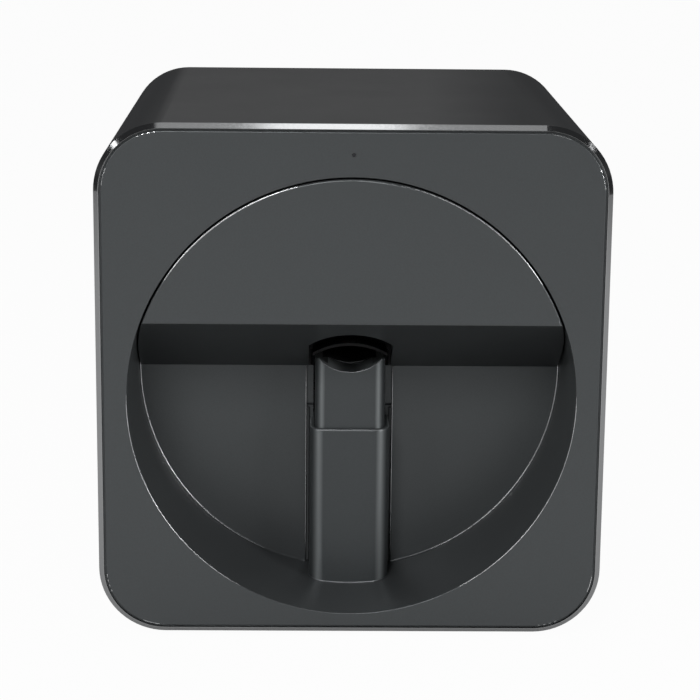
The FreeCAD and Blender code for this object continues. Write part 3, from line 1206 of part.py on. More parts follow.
def switch_housing():
    """Snap-in frame, open to the rear, with pivot holes for the rocker."""
    body = switch_block(0, SWITCH_FRONT, COVER_BACK)
    flange = switch_block(SWITCH_FLANGE, COVER_BACK, COVER_BACK + 1)
    mouth = switch_block(-SWITCH_FLANGE, SWITCH_FRONT + SWITCH_FLANGE, COVER_BACK + 2)
    reach = SWITCH_HALF_WIDTH - SWITCH_FLANGE / 2
    pivot = rod_x(AXLE_RADIUS + RUNNING, SWITCH_X - reach, SWITCH_X + reach, ROCKER_PIVOT, SWITCH_HEIGHT)
    return fused([body, flange]).cut([mouth, pivot])


def power_rocker():
    """Rocker with a shallow V face, resting with its lower end pressed in."""
    half_width = SWITCH_HALF_WIDTH - SWITCH_FLANGE - ROCKER_GAP
    half = SWITCH_HALF_HEIGHT - SWITCH_FLANGE - 2 * ROCKER_GAP
    heel = ROCKER_PIVOT - 2 * AXLE_RADIUS
    face = COVER_BACK - ROCKER_FACE_SINK
    tip = face + half * math.tan(math.radians(ROCKER_ANGLE))
    side = face - ROCKER_EDGE
    outline = [(heel, -half / 2), (heel, half / 2), (side, half), (tip, half), (face, 0), (tip, -half),
               (side, -half)]
    outline = [(depth, SWITCH_HEIGHT + rise) for depth, rise in outline]
    body = side_profile(outline, SWITCH_X - half_width, SWITCH_X + half_width)
    reach = SWITCH_HALF_WIDTH - SWITCH_FLANGE / 2 - SLIP
    pins = rod_x(AXLE_RADIUS, SWITCH_X - reach, SWITCH_X + reach, ROCKER_PIVOT, SWITCH_HEIGHT)
    rocker = fused([body, pins])
    rocker.rotate(at(SWITCH_X, ROCKER_PIVOT, SWITCH_HEIGHT), X_AXIS, ROCKER_ANGLE)
    return rocker


# Fan

def fan_block(half_width, half_height, d0, d1):
    """Box round the fan's axis."""
    return block(FAN_X - half_width, FAN_X + half_width, d0, d1, FAN_HEIGHT - half_height,
                 FAN_HEIGHT + half_height)


def fan_frame():
    """Square frame with the rotor's axle on a hub that four arms hold."""
    body = rounded(fan_block(FAN_SIZE / 2, FAN_SIZE / 2, FAN_FRONT, COVER_FRONT), FAN_CORNER, Y_AXIS)
    body = body.cut(rod_y(FAN_BORE, FAN_X, FAN_FRONT - 1, COVER_FRONT + 1, FAN_HEIGHT))
    hub = rod_y(FAN_HUB, FAN_X, SPIDER_FRONT, COVER_FRONT, FAN_HEIGHT)
    reach = FAN_BORE + SLIP
    arms = [fan_block(reach, FAN_ARM_HALF_WIDTH, SPIDER_FRONT, COVER_FRONT),
            fan_block(FAN_ARM_HALF_WIDTH, reach, SPIDER_FRONT, COVER_FRONT)]
    axle = rod_y(AXLE_RADIUS, FAN_X, FAN_FRONT + 1, SPIDER_FRONT, FAN_HEIGHT)
    return fused([body, hub, axle] + arms)


def fan_rotor():
    """Hub and pitched blades, cut to a clearance inside the frame."""
    front = FAN_FRONT + FAN_FRONT_GAP
    back = SPIDER_FRONT - BELT_GAP
    tip = FAN_BORE - FAN_TIP_GAP
    root = FAN_HUB / 2
    chord = (back - front) / math.cos(math.radians(FAN_PITCH))
    swept = rod_y(tip, FAN_X, front, back, FAN_HEIGHT)
    blades = []
    for index in range(FAN_BLADES):
        blade = Part.makeBox(tip + 1 - root, chord, FAN_BLADE_THICKNESS,
                             FreeCAD.Vector(root, -chord / 2, -FAN_BLADE_THICKNESS / 2))
        blade.rotate(ORIGIN, X_AXIS, FAN_PITCH)
        blade.rotate(ORIGIN, Y_AXIS, 360.0 * index / FAN_BLADES)
        blades.append(blade.translated(at(FAN_X, (front + back) / 2, FAN_HEIGHT)).common(swept))
    hub = rod_y(FAN_HUB, FAN_X, front, back, FAN_HEIGHT)
    return fused([hub] + blades).cut(rod_y(AXLE_RADIUS + RUNNING, FAN_X, front - 1, back + 1, FAN_HEIGHT))


SUB_PARTS = (
    outer_shell, front_bezel, front_fascia, status_light_pipe, recess_bowl, recess_screws, hood_catches,
    rubber_feet, rear_cover, rear_cover_screws, hood, hood_magnets,
    grip_sleeve, finger_rest, finger_pad, lift_carrier, lift_spring, lift_guide, guide_rods,
    finger_limit_arch, light_bar,
    base_plate, side_frames, front_crossbar, rear_crossbar, chassis_screws, mid_deck, capping_station,
    nozzle_cap,
    y_rails, rail_supports, gantry_frame, y_bushings, lead_nut, lead_screw, y_motor,
    x_rods, x_motor, x_belt, x_drive_pulley, x_idler_pulley,
    carriage_frame, carriage_bushings, ink_cartridge, cartridge_latch,
    camera_bracket, camera_module, camera_lens,
    main_board, main_board_components, power_board, power_board_components, board_standoffs,
    dc_inlet, usb_port, switch_housing, power_rocker, fan_frame, fan_rotor,
)

os.makedirs("parts", exist_ok=True)
for sub_part in SUB_PARTS:
    shape = sub_part()
    if not shape.isValid():
        print("not valid:", sub_part.__name__)
    shape.exportStep("parts/" + sub_part.__name__ + ".step")
print(len(SUB_PARTS), "sub-parts")
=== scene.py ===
import json
import math

import bpy
from mathutils import Matrix, Vector


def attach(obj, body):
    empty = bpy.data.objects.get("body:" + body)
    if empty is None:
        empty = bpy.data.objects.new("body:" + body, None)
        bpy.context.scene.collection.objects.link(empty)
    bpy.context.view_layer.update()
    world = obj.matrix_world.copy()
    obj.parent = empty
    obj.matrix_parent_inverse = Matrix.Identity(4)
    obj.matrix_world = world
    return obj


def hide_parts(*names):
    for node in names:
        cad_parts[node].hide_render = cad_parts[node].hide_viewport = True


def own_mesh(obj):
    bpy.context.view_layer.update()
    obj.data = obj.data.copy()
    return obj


# Digital nail art printer, dressed for rendering. Metres, +Z up, the front faces -Y.

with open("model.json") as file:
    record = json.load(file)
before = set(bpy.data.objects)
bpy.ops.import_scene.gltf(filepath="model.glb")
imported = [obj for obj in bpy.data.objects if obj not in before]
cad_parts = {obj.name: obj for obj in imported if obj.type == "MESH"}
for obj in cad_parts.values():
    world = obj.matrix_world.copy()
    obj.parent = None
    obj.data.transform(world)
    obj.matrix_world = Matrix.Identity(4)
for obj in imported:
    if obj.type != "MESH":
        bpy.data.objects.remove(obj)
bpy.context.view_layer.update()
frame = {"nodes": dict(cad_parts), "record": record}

# Camera, fitted to the casing's corners
CAMERA_PLACE = (-0.01671, -1.03059, 0.34563)
CAMERA_TURN = -0.981          # degrees about Z
CAMERA_TILT = 76.777          # degrees from straight down
CAMERA_ROLL = 0.567
CAMERA_LENS = 115.85          # mm on a 36 mm sensor

# Colours are linear light
GREY = (0.079, 0.085, 0.088)
COLUMN_GREY = (0.062, 0.068, 0.071)
SHELL_BLACK = (0.017, 0.018, 0.0195)
PITCH_BLACK = (0.006, 0.006, 0.0065)
SOFT_BLACK = (0.033, 0.033, 0.035)

# Painted highlight on the column's rounded upright corners, as the sideways part of its normal: where
# the painted highlight starts and ends
HIGHLIGHT_FROM = (0.12, 0.42)
HIGHLIGHT_TO = (0.50, 0.80)
HIGHLIGHT_GREY = (0.21, 0.225, 0.23)

# Share of plain white in what the floor shows: to the camera, and to mirrors and glass near the object
FLOOR_GLOW = 0.97
MIRRORED_GLOW = 0.45
GLOW_EDGE = (0.9, 1.8)        # distances over which the mirrored white fades
CONTACT_SHADE_REACH = 0.30          # how far the painted contact shade round the object reaches in the mirrored white

# The white backdrop round the horizon, and the dim room elsewhere. Each pair is where an edge of the
# backdrop starts and ends, on the part of a direction that points up, right or away
BACKDROP_FOOT = (0.06, 0.13)
BACKDROP_TOP = (0.15, 0.35)
BACKDROP_IN_MIRRORS = 0.12
BACKDROP_LEFT = (-0.10, -0.07)
BACKDROP_RIGHT = (0.05, 0.09)
BACKDROP_AHEAD = (-0.2, 0.2)  # in front of the object it goes all the way round
BACKDROP_ENDS = 0.3           # what is left of it past its left and right edges
ROOM_LEVEL = 0.05
ROOM_COLOUR = (0.95, 0.97, 1.0, 1)

# The floor that it stands on
STAGE_SIZE = 8.0
STAGE_DROP = 0.0002           # below the feet, so that the two don't share a plane
STAGE_COLOUR = (0.58, 0.58, 0.58)

# Lamps: azimuth from straight ahead to the right and elevation in degrees, power in watts
LIT_POINT = Vector((0, 0, 0.11))
LAMP_DISTANCE = 1.5
FRONT_LAMP_SIZE = (0.5, 0.4)
FRONT_LAMPS = (
    ("key", -12, 32, 10.5),
    ("right", 54, 14, 7.0),
    ("left", -54, 22, 3.4),
)
SIDE_LAMPS = (("side_left", -79, 36, 0.5), ("side_right", 79, 36, 0.5))
SIDE_LAMP_SIZE = (0.14, 0.14)
OVERHEAD_LAMPS = (
    ("overhead", (0.0, -0.05, 1.3), (0.13, 0.9), 0.68),
    ("overhead_wide", (-0.02, -0.05, 1.32), (0.50, 0.8), 0.7),
)

# Sizes of the pieces that the lines and plates follow
FRONT_Y = -0.108
RECESS_Z = 0.1069             # centre
RECESS_RADIUS = 0.0951        # at its mouth
RECESS_FLOOR_Y = -0.0470
RECESS_FLOOR_RADIUS = 0.0941
HOOD_RADIUS = 0.0943
SLOT_X = 0.01915
SLOT_FOOT_Z = 0.0155
SLOT_HEAD_Z = 0.112
LIP_HEAD_Z = 0.0878
CHEEK_X = (0.0162, 0.0195)    # plate beside the finger rest, below the lift guide's own
CHEEK_Y = (-0.0449, -0.0430)
CHEEK_Z = (0.0805, 0.0885)
CHEEK_ROUND = 0.0010
SLEEVE_X = 0.0178
SLEEVE_FRONT_Y = -0.0698
SLEEVE_BACK_Y = -0.0480
SLEEVE_TOP_Z = 0.0837
SLEEVE_CORNER = 0.0070
PANEL_SIDES = (-0.10442, 0.10442, 0.00658, 0.22042)
PANEL_CORNER = 0.02492
PANEL_LINE_Y = -0.10762
SCOOP_Z = 0.1283              # axis of the finger scoop
SCOOP_STEPS = 16              # of each half of a line round it

# How thick each line is, as the radius of its section, and how far its middle is from the edge
LINE_TIP = 0.15               # share of its radius that a tapered line keeps at its ends
PANEL_LINE = 0.00037
HOOD_LINE = 0.00042
HOOD_INSET = 0.00045
RECESS_LINE = 0.0003
RIM_INSET = 0.00032
RECESS_FLOOR_INSET = 0.0004
SLOT_LINE = 0.00028
SLOT_INSET = 0.0003
LIP_LINE = 0.00062
LIP_INSET = 0.0009
SLEEVE_LINE = 0.00022
SLEEVE_INSET = 0.00030
FOOT_LINE = 0.0003
FOOT_RISE = 0.0002

# Front lines: name, start and end in degrees from +X round the recess's centre
RIM_LINES = (("rim_line_left", 161, 258), ("rim_line_right", 282, 379))
RECESS_FLOOR_LINES = (("floor_line_left", 165, 246), ("floor_line_right", 294, 375))
HOOD_LINES = (("hood_line_right", 22, 82), ("hood_line_left", 98, 158))

# Lines round the scoop: name, radius, y, half angle, thickness, material and slot
SCOOP_LINES = (
    ("scoop_line", 0.0191, -0.0676, 46, 0.00022, "highlight_soft_line", "chrome"),
    ("pad_line", 0.0187, -0.0504, 22, 0.00030, "highlight_soft_line", "rubber"),
)


# Materials

NOISE_SPAN = (0.2, 0.8)       # where nearly all of a noise's values lie


def join(tree, operation, first, second):
    """A math node over two sockets or floats."""
    node = tree.nodes.new("ShaderNodeMath")
    node.operation = operation
    for socket, value in zip(node.inputs, (first, second)):
        if isinstance(value, float):
            socket.default_value = value
        else:
            tree.links.new(value, socket)
    return node.outputs["Value"]


def ramp(tree, value, ends, low, high):
    """From low to high as the value goes from one end to the other."""
    node = tree.nodes.new("ShaderNodeMapRange")
    tree.links.new(value, node.inputs["Value"])
    for name, number in zip(("From Min", "From Max", "To Min", "To Max"), (*ends, low, high)):
        node.inputs[name].default_value = number
    return node.outputs["Result"]


class Nodes:
    """A material's node tree, with short calls to add nodes and link them."""

    def __init__(self, name):
        self.material = bpy.data.materials.new(name)
        self.material.use_nodes = True
        self.tree = self.material.node_tree
        self.shader = self.tree.nodes["Principled BSDF"]
        self.position = self.add("ShaderNodeTexCoord").outputs["Object"]

    def add(self, kind, **settings):
        node = self.tree.nodes.new(kind)
        for key, value in settings.items():
            setattr(node, key, value)
        return node

    def link(self, source, target):
        self.tree.links.new(source, target)

    def noise(self, scale, detail=3.0, stretch=(1, 1, 1)):
        place = self.add("ShaderNodeMapping")
        place.inputs["Scale"].default_value = stretch
        self.link(self.position, place.inputs["Vector"])
        texture = self.add("ShaderNodeTexNoise")
        texture.inputs["Scale"].default_value = scale
        texture.inputs["Detail"].default_value = detail
        self.link(place.outputs["Vector"], texture.inputs["Vector"])
        return texture.outputs["Fac"]

    def between(self, value, low, high):
        """A noise value spread from low to high."""
        return ramp(self.tree, value, NOISE_SPAN, low, high)

    def tinted(self, value, colour, change):
        """The colour, lighter and darker by a share of itself as the value changes."""
        mix = self.add("ShaderNodeMix", data_type="RGBA")
        mix.inputs["A"].default_value = (*[c * (1 - change) for c in colour], 1)
        mix.inputs["B"].default_value = (*[c * (1 + change) for c in colour], 1)
        self.link(self.between(value, 0.0, 1.0), mix.inputs["Factor"])
        self.link(mix.outputs["Result"], self.shader.inputs["Base Color"])

    def bump(self, height, strength, distance):
        bump = self.add("ShaderNodeBump")
        bump.inputs["Strength"].default_value = strength
        bump.inputs["Distance"].default_value = distance
        self.link(height, bump.inputs["Height"])
        self.link(bump.outputs["Normal"], self.shader.inputs["Normal"])


def moulded(name, colour, roughness, grain=2600.0, depth=0.00002, specular=0.5):
    """Injection-moulded plastic: a fine spark-eroded grain, with slow changes of tone and gloss."""
    nodes = Nodes(name)
    nodes.shader.inputs["Specular IOR Level"].default_value = specular
    nodes.tinted(nodes.noise(14.0), colour, 0.05)
    nodes.link(nodes.between(nodes.noise(38.0), roughness - 0.02, roughness + 0.02),
               nodes.shader.inputs["Roughness"])
    nodes.bump(nodes.noise(grain, 2.0), 0.35, depth)
    return nodes.material


def metallic_paint(name, colour, roughness, metal):
    """Satin paint with fine metal flake: part of its light is a broad metallic sheen."""
    nodes = Nodes(name)
    nodes.shader.inputs["Metallic"].default_value = metal
    nodes.shader.inputs["Specular IOR Level"].default_value = 0.4
    nodes.tinted(nodes.noise(1400.0, 2.0), colour, 0.06)
    nodes.link(nodes.between(nodes.noise(30.0), roughness - 0.015, roughness + 0.015),
               nodes.shader.inputs["Roughness"])
    nodes.bump(nodes.noise(2600.0, 2.0), 0.25, 0.00002)
    return nodes.material


def corner_highlighted(name, colour, roughness, metal, highlight_colour):
    """The same paint, with a painted highlight: lighter along the rounded upright corners."""
    material = metallic_paint(name, colour, roughness, metal)
    tree = material.node_tree
    shader = tree.nodes["Principled BSDF"]
    painted = shader.inputs["Base Color"].links[0].from_socket
    normal = tree.nodes.new("ShaderNodeSeparateXYZ")
    tree.links.new(tree.nodes.new("ShaderNodeTexCoord").outputs["Normal"], normal.inputs["Vector"])
    turn = join(tree, "ABSOLUTE", normal.outputs["X"], 0.0)
    rising = ramp(tree, turn, HIGHLIGHT_FROM, 0.0, 1.0)
    falling = ramp(tree, turn, HIGHLIGHT_TO, 1.0, 0.0)
    mix = tree.nodes.new("ShaderNodeMix")
    mix.data_type = "RGBA"
    mix.inputs["B"].default_value = (*highlight_colour, 1)
    tree.links.new(join(tree, "MULTIPLY", rising, falling), mix.inputs["Factor"])
    tree.links.new(painted, mix.inputs["A"])
    tree.links.new(mix.outputs["Result"], shader.inputs["Base Color"])
    return material


def plating_and_highlight_metal(name, colour, roughness):
    """Plated trim, and the bright metal of the lines that are painted highlights on edges, with the
    faint waviness and fine rub marks of plating on plastic.
    """
    nodes = Nodes(name)
    nodes.shader.inputs["Metallic"].default_value = 1.0
    nodes.tinted(nodes.noise(20.0), colour, 0.03)
    nodes.link(nodes.between(nodes.noise(900.0, 4.0, (1, 1, 0.1)), roughness * 0.6, roughness * 1.5),
               nodes.shader.inputs["Roughness"])
    nodes.bump(nodes.noise(60.0), 0.08, 0.0002)
    return nodes.material


def turned_metal(name, colour, roughness, stretch=(1, 0.02, 1)):
    """Machined or rolled metal with fine drawn lines."""
    nodes = Nodes(name)
    nodes.shader.inputs["Metallic"].default_value = 1.0
    nodes.tinted(nodes.noise(30.0), colour, 0.08)
    lines = nodes.noise(1800.0, 3.0, stretch)
    nodes.link(nodes.between(lines, roughness * 0.7, roughness * 1.4), nodes.shader.inputs["Roughness"])
    nodes.bump(lines, 0.15, 0.00003)
    return nodes.material


def rubbery(name, colour):
    nodes = Nodes(name)
    nodes.shader.inputs["Specular IOR Level"].default_value = 0.25
    nodes.tinted(nodes.noise(60.0), colour, 0.15)
    nodes.link(nodes.between(nodes.noise(300.0), 0.7, 0.9), nodes.shader.inputs["Roughness"])
    nodes.bump(nodes.noise(1500.0), 0.4, 0.00005)
    return nodes.material


def circuit_board(name, colour):
    """Green solder mask over a pattern of copper tracks."""
    nodes = Nodes(name)
    tracks = nodes.add("ShaderNodeTexBrick")
    tracks.inputs["Scale"].default_value = 180.0
    tracks.inputs["Mortar Size"].default_value = 0.06
    tracks.inputs["Color1"].default_value = (*colour, 1)
    tracks.inputs["Color2"].default_value = (*[c * 0.85 for c in colour], 1)
    tracks.inputs["Mortar"].default_value = (*[c * 1.8 for c in colour], 1)
    nodes.link(nodes.position, tracks.inputs["Vector"])
    nodes.link(tracks.outputs["Color"], nodes.shader.inputs["Base Color"])
    nodes.link(nodes.between(nodes.noise(80.0), 0.25, 0.4), nodes.shader.inputs["Roughness"])
    nodes.bump(tracks.outputs["Fac"], 0.3, 0.00005)
    return nodes.material


def milky(name, colour):
    nodes = Nodes(name)
    nodes.shader.inputs["Subsurface Weight"].default_value = 0.3
    nodes.tinted(nodes.noise(50.0), colour, 0.04)
    nodes.link(nodes.between(nodes.noise(200.0), 0.3, 0.45), nodes.shader.inputs["Roughness"])
    return nodes.material


def dark_lens(name):
    nodes = Nodes(name)
    nodes.shader.inputs["Coat Weight"].default_value = 1.0
    nodes.tinted(nodes.noise(300.0), (0.01, 0.011, 0.016), 0.2)
    nodes.link(nodes.between(nodes.noise(60.0), 0.06, 0.12), nodes.shader.inputs["Roughness"])
    return nodes.material


MATERIALS = {
    "shell": moulded("satin_shell", SHELL_BLACK, 0.13, specular=0.25),
    "chrome": plating_and_highlight_metal("plated_trim", (0.36, 0.365, 0.37), 0.10),
    "fascia": metallic_paint("satin_grey", GREY, 0.36, 0.5),
    "black": moulded("matt_black", PITCH_BLACK, 0.45, specular=0.25),
    # bright metal for the lines laid along edges as painted highlights
    "highlight_line": plating_and_highlight_metal("metal_for_edge_highlights", (0.62, 0.63, 0.64), 0.30),
    "highlight_panel_line": plating_and_highlight_metal("metal_for_panel_highlight", (0.85, 0.86, 0.87), 0.25),
    "highlight_soft_line": plating_and_highlight_metal("metal_for_soft_highlights", (0.28, 0.29, 0.30), 0.4),
    "lip": moulded("slot_lip", (0.045, 0.048, 0.05), 0.6, specular=0.3),
    # the column's rounded upright corners carry a painted highlight
    "column": corner_highlighted("satin_grey_column", COLUMN_GREY, 0.36, 0.4, HIGHLIGHT_GREY),
    "steel": turned_metal("bright_steel", (0.55, 0.56, 0.57), 0.28),
    "sheet": turned_metal("plated_sheet", (0.45, 0.46, 0.48), 0.45, (1, 0.1, 0.1)),
    "brass": turned_metal("sintered_bronze", (0.60, 0.44, 0.22), 0.40),
    "rubber": rubbery("black_rubber", SOFT_BLACK),
    "board": circuit_board("solder_mask", (0.02, 0.12, 0.05)),
    "chips": moulded("component_black", SOFT_BLACK, 0.5),
    "lens": dark_lens("dark_lens"),
    "light": milky("light_diffuser", (0.85, 0.86, 0.84)),
    "mechanism": moulded("mechanism_grey", (0.03, 0.03, 0.032), 0.5),
}


# Nodes with a finish of their own, in place of their slot's
OWN_FINISH = {
    "grip_sleeve": "column",
    "finger_rest": "column",
    "lift_guide": "fascia",
    "status_light_pipe": "lens",
}


def dress_nodes():
    """Gives each CAD node its own finish, or else that of its slot."""
    for subpart in frame["record"]["subparts"]:
        name = subpart["node"]
        materials = frame["nodes"][name].data.materials
        materials.clear()
        materials.append(MATERIALS[OWN_FINISH.get(name, subpart["material_slot"])])


def place_piece(name, data):
    piece = bpy.data.objects.new(name, data)
    bpy.context.scene.collection.objects.link(piece)
    return piece


# The coil under the finger rest

def lift_coil():
    """The spring's coil, a copy of the CAD spring's mesh fixed on the body in its place."""
    node = frame["nodes"]["lift_spring"]
    coil = place_piece("lift_coil", node.data.copy())
    coil.matrix_world = node.matrix_world.copy()
    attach(coil, "root")
    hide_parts("lift_spring")
    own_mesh(coil)


# Painted highlights: bright lines laid along the edges, and the plates in the slot

def edge_line(name, points, radius, body, taper=0.0, material="highlight_line"):
    """A fine bright line laid along an edge, a painted highlight. Its ends thin out over the given share
    of its length.
    """
    data = bpy.data.curves.new(name, "CURVE")
    data.dimensions = "3D"
    data.bevel_depth = radius
    data.bevel_resolution = 3
    data.use_fill_caps = True
    spline = data.splines.new("POLY")
    spline.points.add(len(points) - 1)
    last = len(points) - 1
    for index, (point, place) in enumerate(zip(spline.points, points)):
        point.co = (*place, 1)
        to_end = min(index, last - index) / last
        point.radius = min(1.0, LINE_TIP + to_end / taper) if taper else 1.0
    line = place_piece(name, data)
    data.materials.append(MATERIALS[material])
    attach(line, body)


def front_arc(radius, y, start, end, steps=96):
    """Points on a circle round the recess's centre, from one angle to the other, in degrees from +X."""
    angles = [math.radians(start + (end - start) * step / steps) for step in range(steps + 1)]
    return [(radius * math.cos(a), y, RECESS_Z + radius * math.sin(a)) for a in angles]


def panel_edge():
    """A bright line round the front panel's edge, a painted highlight, in four sides that share their
    rounded corners.
    """
    left, right, foot, head = PANEL_SIDES
    corner, steps = PANEL_CORNER, 16
    outline = []
    for x, z, start in ((right, head, 0), (left, head, 90), (left, foot, 180), (right, foot, 270)):
        x -= math.copysign(corner, x)
        z += corner if z == foot else -corner
        for step in range(steps + 1):
            turn = math.radians(start + 90 * step / steps)
            outline.append((x + corner * math.cos(turn), PANEL_LINE_Y, z + corner * math.sin(turn)))
    edge_line("panel_line", outline + outline[:1], PANEL_LINE, "root", material="highlight_panel_line")


def recess_edges():
    """Bright lines round the recess's mouth and round its floor, left and right of the sleeve's foot:
    painted highlights on those edges.
    """
    radius, y = RECESS_RADIUS + RIM_INSET, FRONT_Y + RIM_INSET
    for name, start, end in RIM_LINES:
        edge_line(name, front_arc(radius, y, start, end), RECESS_LINE, "root", 0.25)
    radius, y = RECESS_FLOOR_RADIUS - RECESS_FLOOR_INSET, RECESS_FLOOR_Y - RECESS_FLOOR_INSET
    for name, start, end in RECESS_FLOOR_LINES:
        edge_line(name, front_arc(radius, y, start, end), RECESS_LINE, "root", 0.3)


def hood_edges():
    """Bright lines along the hood's round edge, one on each side of its top: painted highlights on that
    edge.
    """
    radius, y = HOOD_RADIUS - HOOD_INSET, FRONT_Y + HOOD_INSET
    for name, start, end in HOOD_LINES:
        edge_line(name, front_arc(radius, y, start, end), HOOD_LINE, "hood", 0.3)


def upright(x, y, foot, head, steps=24):
    """Points up a line, from its foot to its head."""
    return [(x, y, foot + (head - foot) * step / steps) for step in range(steps + 1)]


def slot_edges():
    """A bright line down each side of the slot, a painted highlight, and a soft lip that closes it
    beside the sleeve.
    """
    for side, hand in ((-1, "left"), (1, "right")):
        line_x, lip_x = side * (SLOT_X + SLOT_INSET), side * (SLEEVE_X + SLOT_X) / 2
        line = upright(line_x, RECESS_FLOOR_Y + SLOT_INSET, SLOT_FOOT_Z, SLOT_HEAD_Z)
        edge_line("slot_line_" + hand, line, SLOT_LINE, "root", 0.2)
        lip = upright(lip_x, RECESS_FLOOR_Y + LIP_INSET, SLOT_FOOT_Z, LIP_HEAD_Z)
        edge_line("slot_lip_" + hand, lip, LIP_LINE, "root", 0.0, "lip")


def slot_cheeks():
    """A plate on each side that closes the slot between the guide and the sleeve's top."""
    for side, hand in ((-1, "left"), (1, "right")):
        (inner, outer), (foot, head) = CHEEK_X, CHEEK_Z
        outline = [(outer, head), (inner, head)]
        for x, start in ((inner + CHEEK_ROUND, 180), (outer - CHEEK_ROUND, 270)):
            angles = [math.radians(start + 15 * step) for step in range(7)]
            outline += [(x + CHEEK_ROUND * math.cos(a), foot + CHEEK_ROUND * (1 + math.sin(a)))
                        for a in angles]
        count = len(outline)
        corners = [(side * x, y, z) for y in CHEEK_Y for x, z in outline]
        faces = [tuple(range(count)), tuple(reversed(range(count, 2 * count)))]
        for index in range(count):
            after = (index + 1) % count
            faces.append((after, index, index + count, after + count))
        if side < 0:
            faces = [tuple(reversed(face)) for face in faces]
        data = bpy.data.meshes.new("slot_cheek_" + hand)
        data.from_pydata(corners, [], faces)
        data.materials.append(MATERIALS["fascia"])
        plate = place_piece("slot_cheek_" + hand, data)
        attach(plate, "root")


def across_sleeve(side_x, front_y, corner, back_y):
    """Plan of the sleeve's outline: along one side, across the front and back along the other."""
    bend_x, bend_y = side_x - corner, front_y + corner
    quarter = [math.radians(angle) for angle in range(0, 91, 6)]
    half = [(bend_x + corner * math.cos(a), bend_y - corner * math.sin(a)) for a in quarter]
    front = [(bend_x * (1 - step / 8), front_y) for step in range(1, 9)]
    half = [(side_x, back_y)] + half + front
    return half + [(-x, y) for x, y in reversed(half[:-1])]


def sleeve_edges():
    """Bright lines round the top of the grip sleeve, and where its foot meets the recess wall: painted
    highlights on those edges.
    """
    inset = SLEEVE_INSET
    plan = across_sleeve(SLEEVE_X - inset, SLEEVE_FRONT_Y + inset, SLEEVE_CORNER - inset, SLEEVE_BACK_Y)
    top = [(x, y, SLEEVE_TOP_Z - inset) for x, y in plan]
    edge_line("sleeve_line", top, SLEEVE_LINE, "root", 0.1, "highlight_soft_line")
    draft = (RECESS_RADIUS - RECESS_FLOOR_RADIUS) / (RECESS_FLOOR_Y - FRONT_Y)
    plan = across_sleeve(SLEEVE_X, SLEEVE_FRONT_Y, SLEEVE_CORNER, SLEEVE_FRONT_Y + SLEEVE_CORNER)
    foot = []
    for x, y in plan:
        wall = RECESS_RADIUS - draft * (y - FRONT_Y)
        foot.append((x, y, RECESS_Z - math.sqrt(wall * wall - x * x) + FOOT_RISE))
    edge_line("sleeve_foot_line", foot, FOOT_LINE, "root", 0.15, "highlight_soft_line")


def scoop_edges():
    """Painted highlights: bright lines on the finger rest's front edge round the scoop, and on the front
    edge of the soft pad in it.
    """
    for name, radius, y, half_angle, thickness, material, slot in SCOOP_LINES:
        angles = [math.radians(-90 - half_angle + half_angle * step / SCOOP_STEPS)
                  for step in range(2 * SCOOP_STEPS + 1)]
        arc = [(radius * math.cos(a), y, SCOOP_Z + radius * math.sin(a)) for a in angles]
        edge_line(name, arc, thickness, "finger_lift", 0.3, material)


# Studio

def make_floor():
    """A pale matt floor, which looks white and shows white in mirrors and glass near the object, with a
    painted contact shade darkening that mirrored white close round the object.
    """
    bpy.ops.mesh.primitive_plane_add(size=STAGE_SIZE, location=(0, 0, -STAGE_DROP))
    floor = bpy.context.object
    floor.name = "floor"
    nodes = Nodes("pale_floor")
    tree = nodes.tree
    nodes.tinted(nodes.noise(3.0), STAGE_COLOUR, 0.01)
    nodes.shader.inputs["Roughness"].default_value = 0.9
    glow = nodes.add("ShaderNodeEmission")
    glow.inputs["Strength"].default_value = 1.0
    distance = nodes.add("ShaderNodeVectorMath", operation="LENGTH")
    nodes.link(nodes.position, distance.inputs[0])
    near = ramp(tree, distance.outputs["Value"], GLOW_EDGE, 1.0, 0.0)
    # painted contact shade: the white that mirrors see is darkened where the object closes in over the
    # floor
    contact_shade = nodes.add("ShaderNodeAmbientOcclusion")
    contact_shade.inputs["Distance"].default_value = CONTACT_SHADE_REACH
    unshaded_share = join(tree, "POWER", contact_shade.outputs["AO"], 2.0)
    path = nodes.add("ShaderNodeLightPath")
    mirrored = join(tree, "ADD", path.outputs["Is Glossy Ray"], path.outputs["Is Transmission Ray"])
    mirrored = join(tree, "MULTIPLY", mirrored, MIRRORED_GLOW)
    mirrored = join(tree, "MULTIPLY", mirrored, join(tree, "MULTIPLY", near, unshaded_share))
    seen = join(tree, "MULTIPLY", path.outputs["Is Camera Ray"], FLOOR_GLOW)
    mix = nodes.add("ShaderNodeMixShader")
    nodes.link(join(tree, "ADD", seen, mirrored), mix.inputs["Fac"])
    nodes.link(nodes.shader.outputs["BSDF"], mix.inputs[1])
    nodes.link(glow.outputs["Emission"], mix.inputs[2])
    nodes.link(mix.outputs["Shader"], tree.nodes["Material Output"].inputs["Surface"])
    floor.data.materials.append(nodes.material)


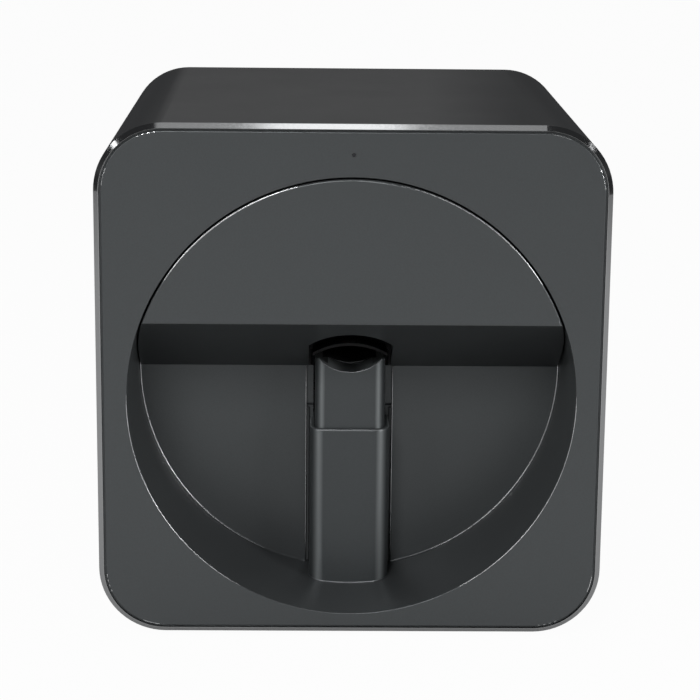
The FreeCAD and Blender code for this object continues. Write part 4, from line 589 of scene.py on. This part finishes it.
def make_world():
    """A dim room, with a white backdrop round the horizon for the camera, mirrors and glass."""
    world = bpy.data.worlds.new("studio")
    bpy.context.scene.world = world
    world.use_nodes = True
    tree = world.node_tree
    room = tree.nodes["Background"]
    room.inputs["Color"].default_value = ROOM_COLOUR
    room.inputs["Strength"].default_value = ROOM_LEVEL
    backdrop = tree.nodes.new("ShaderNodeBackground")
    backdrop.inputs["Color"].default_value = (1, 1, 1, 1)
    direction = tree.nodes.new("ShaderNodeSeparateXYZ")
    tree.links.new(tree.nodes.new("ShaderNodeTexCoord").outputs["Generated"], direction.inputs["Vector"])
    right, away, height = (direction.outputs[name] for name in "XYZ")
    path = tree.nodes.new("ShaderNodeLightPath")
    ends = join(tree, "MULTIPLY", ramp(tree, right, BACKDROP_LEFT, BACKDROP_ENDS, 1.0),
                ramp(tree, right, BACKDROP_RIGHT, 1.0, BACKDROP_ENDS))
    ends = join(tree, "MAXIMUM", ends, ramp(tree, away, BACKDROP_AHEAD, 1.0, 0.0))
    mirrored = join(tree, "MULTIPLY", path.outputs["Is Glossy Ray"], BACKDROP_IN_MIRRORS)
    mirrored = join(tree, "MULTIPLY", mirrored, ends)
    mirrored = join(tree, "ADD", mirrored, path.outputs["Is Transmission Ray"])
    mirrored = join(tree, "MULTIPLY", mirrored, ramp(tree, height, BACKDROP_FOOT, 0.0, 1.0))
    share = join(tree, "ADD", path.outputs["Is Camera Ray"], mirrored)
    mix = tree.nodes.new("ShaderNodeMixShader")
    share = join(tree, "MULTIPLY", share, ramp(tree, height, BACKDROP_TOP, 1.0, 0.0))
    tree.links.new(share, mix.inputs["Fac"])
    tree.links.new(room.outputs["Background"], mix.inputs[1])
    tree.links.new(backdrop.outputs["Background"], mix.inputs[2])
    tree.links.new(mix.outputs["Shader"], tree.nodes["World Output"].inputs["Surface"])


def soft_box(name, place, target, size, power):
    data = bpy.data.lights.new(name, "AREA")
    data.shape = "RECTANGLE"
    data.size, data.size_y = size
    data.energy = power
    lamp = bpy.data.objects.new(name, data)
    lamp.location = place
    lamp.rotation_euler = (Vector(target) - Vector(place)).to_track_quat("-Z", "Y").to_euler()
    lamp.visible_camera = False
    bpy.context.scene.collection.objects.link(lamp)


def make_lights():
    """A key left of the camera, weaker lamps round it and two overhead."""
    for lamps, size in ((FRONT_LAMPS, FRONT_LAMP_SIZE), (SIDE_LAMPS, SIDE_LAMP_SIZE)):
        for name, azimuth, elevation, power in lamps:
            round_z = math.radians(azimuth)
            out, up = math.cos(math.radians(elevation)), math.sin(math.radians(elevation))
            way = Vector((math.sin(round_z) * out, -math.cos(round_z) * out, up))
            soft_box(name, LIT_POINT + way * LAMP_DISTANCE, LIT_POINT, size, power)
    for name, place, size, power in OVERHEAD_LAMPS:
        soft_box(name, Vector(place), Vector((place[0], place[1], 0)), size, power)


def make_camera():
    data = bpy.data.cameras.new("camera")
    data.lens = CAMERA_LENS
    data.sensor_width = 36.0
    camera = bpy.data.objects.new("camera", data)
    turns = ((CAMERA_TURN, "Z"), (CAMERA_TILT, "X"), (CAMERA_ROLL, "Z"))
    pose = Matrix.Translation(CAMERA_PLACE)
    for angle, axis in turns:
        pose = pose @ Matrix.Rotation(math.radians(angle), 4, axis)
    camera.matrix_world = pose
    bpy.context.scene.collection.objects.link(camera)
    bpy.context.scene.camera = camera


dress_nodes()
lift_coil()
panel_edge()
recess_edges()
hood_edges()
slot_edges()
slot_cheeks()
sleeve_edges()
scoop_edges()
make_floor()
make_world()
make_lights()
make_camera()
bpy.context.scene.view_settings.view_transform = "Standard"
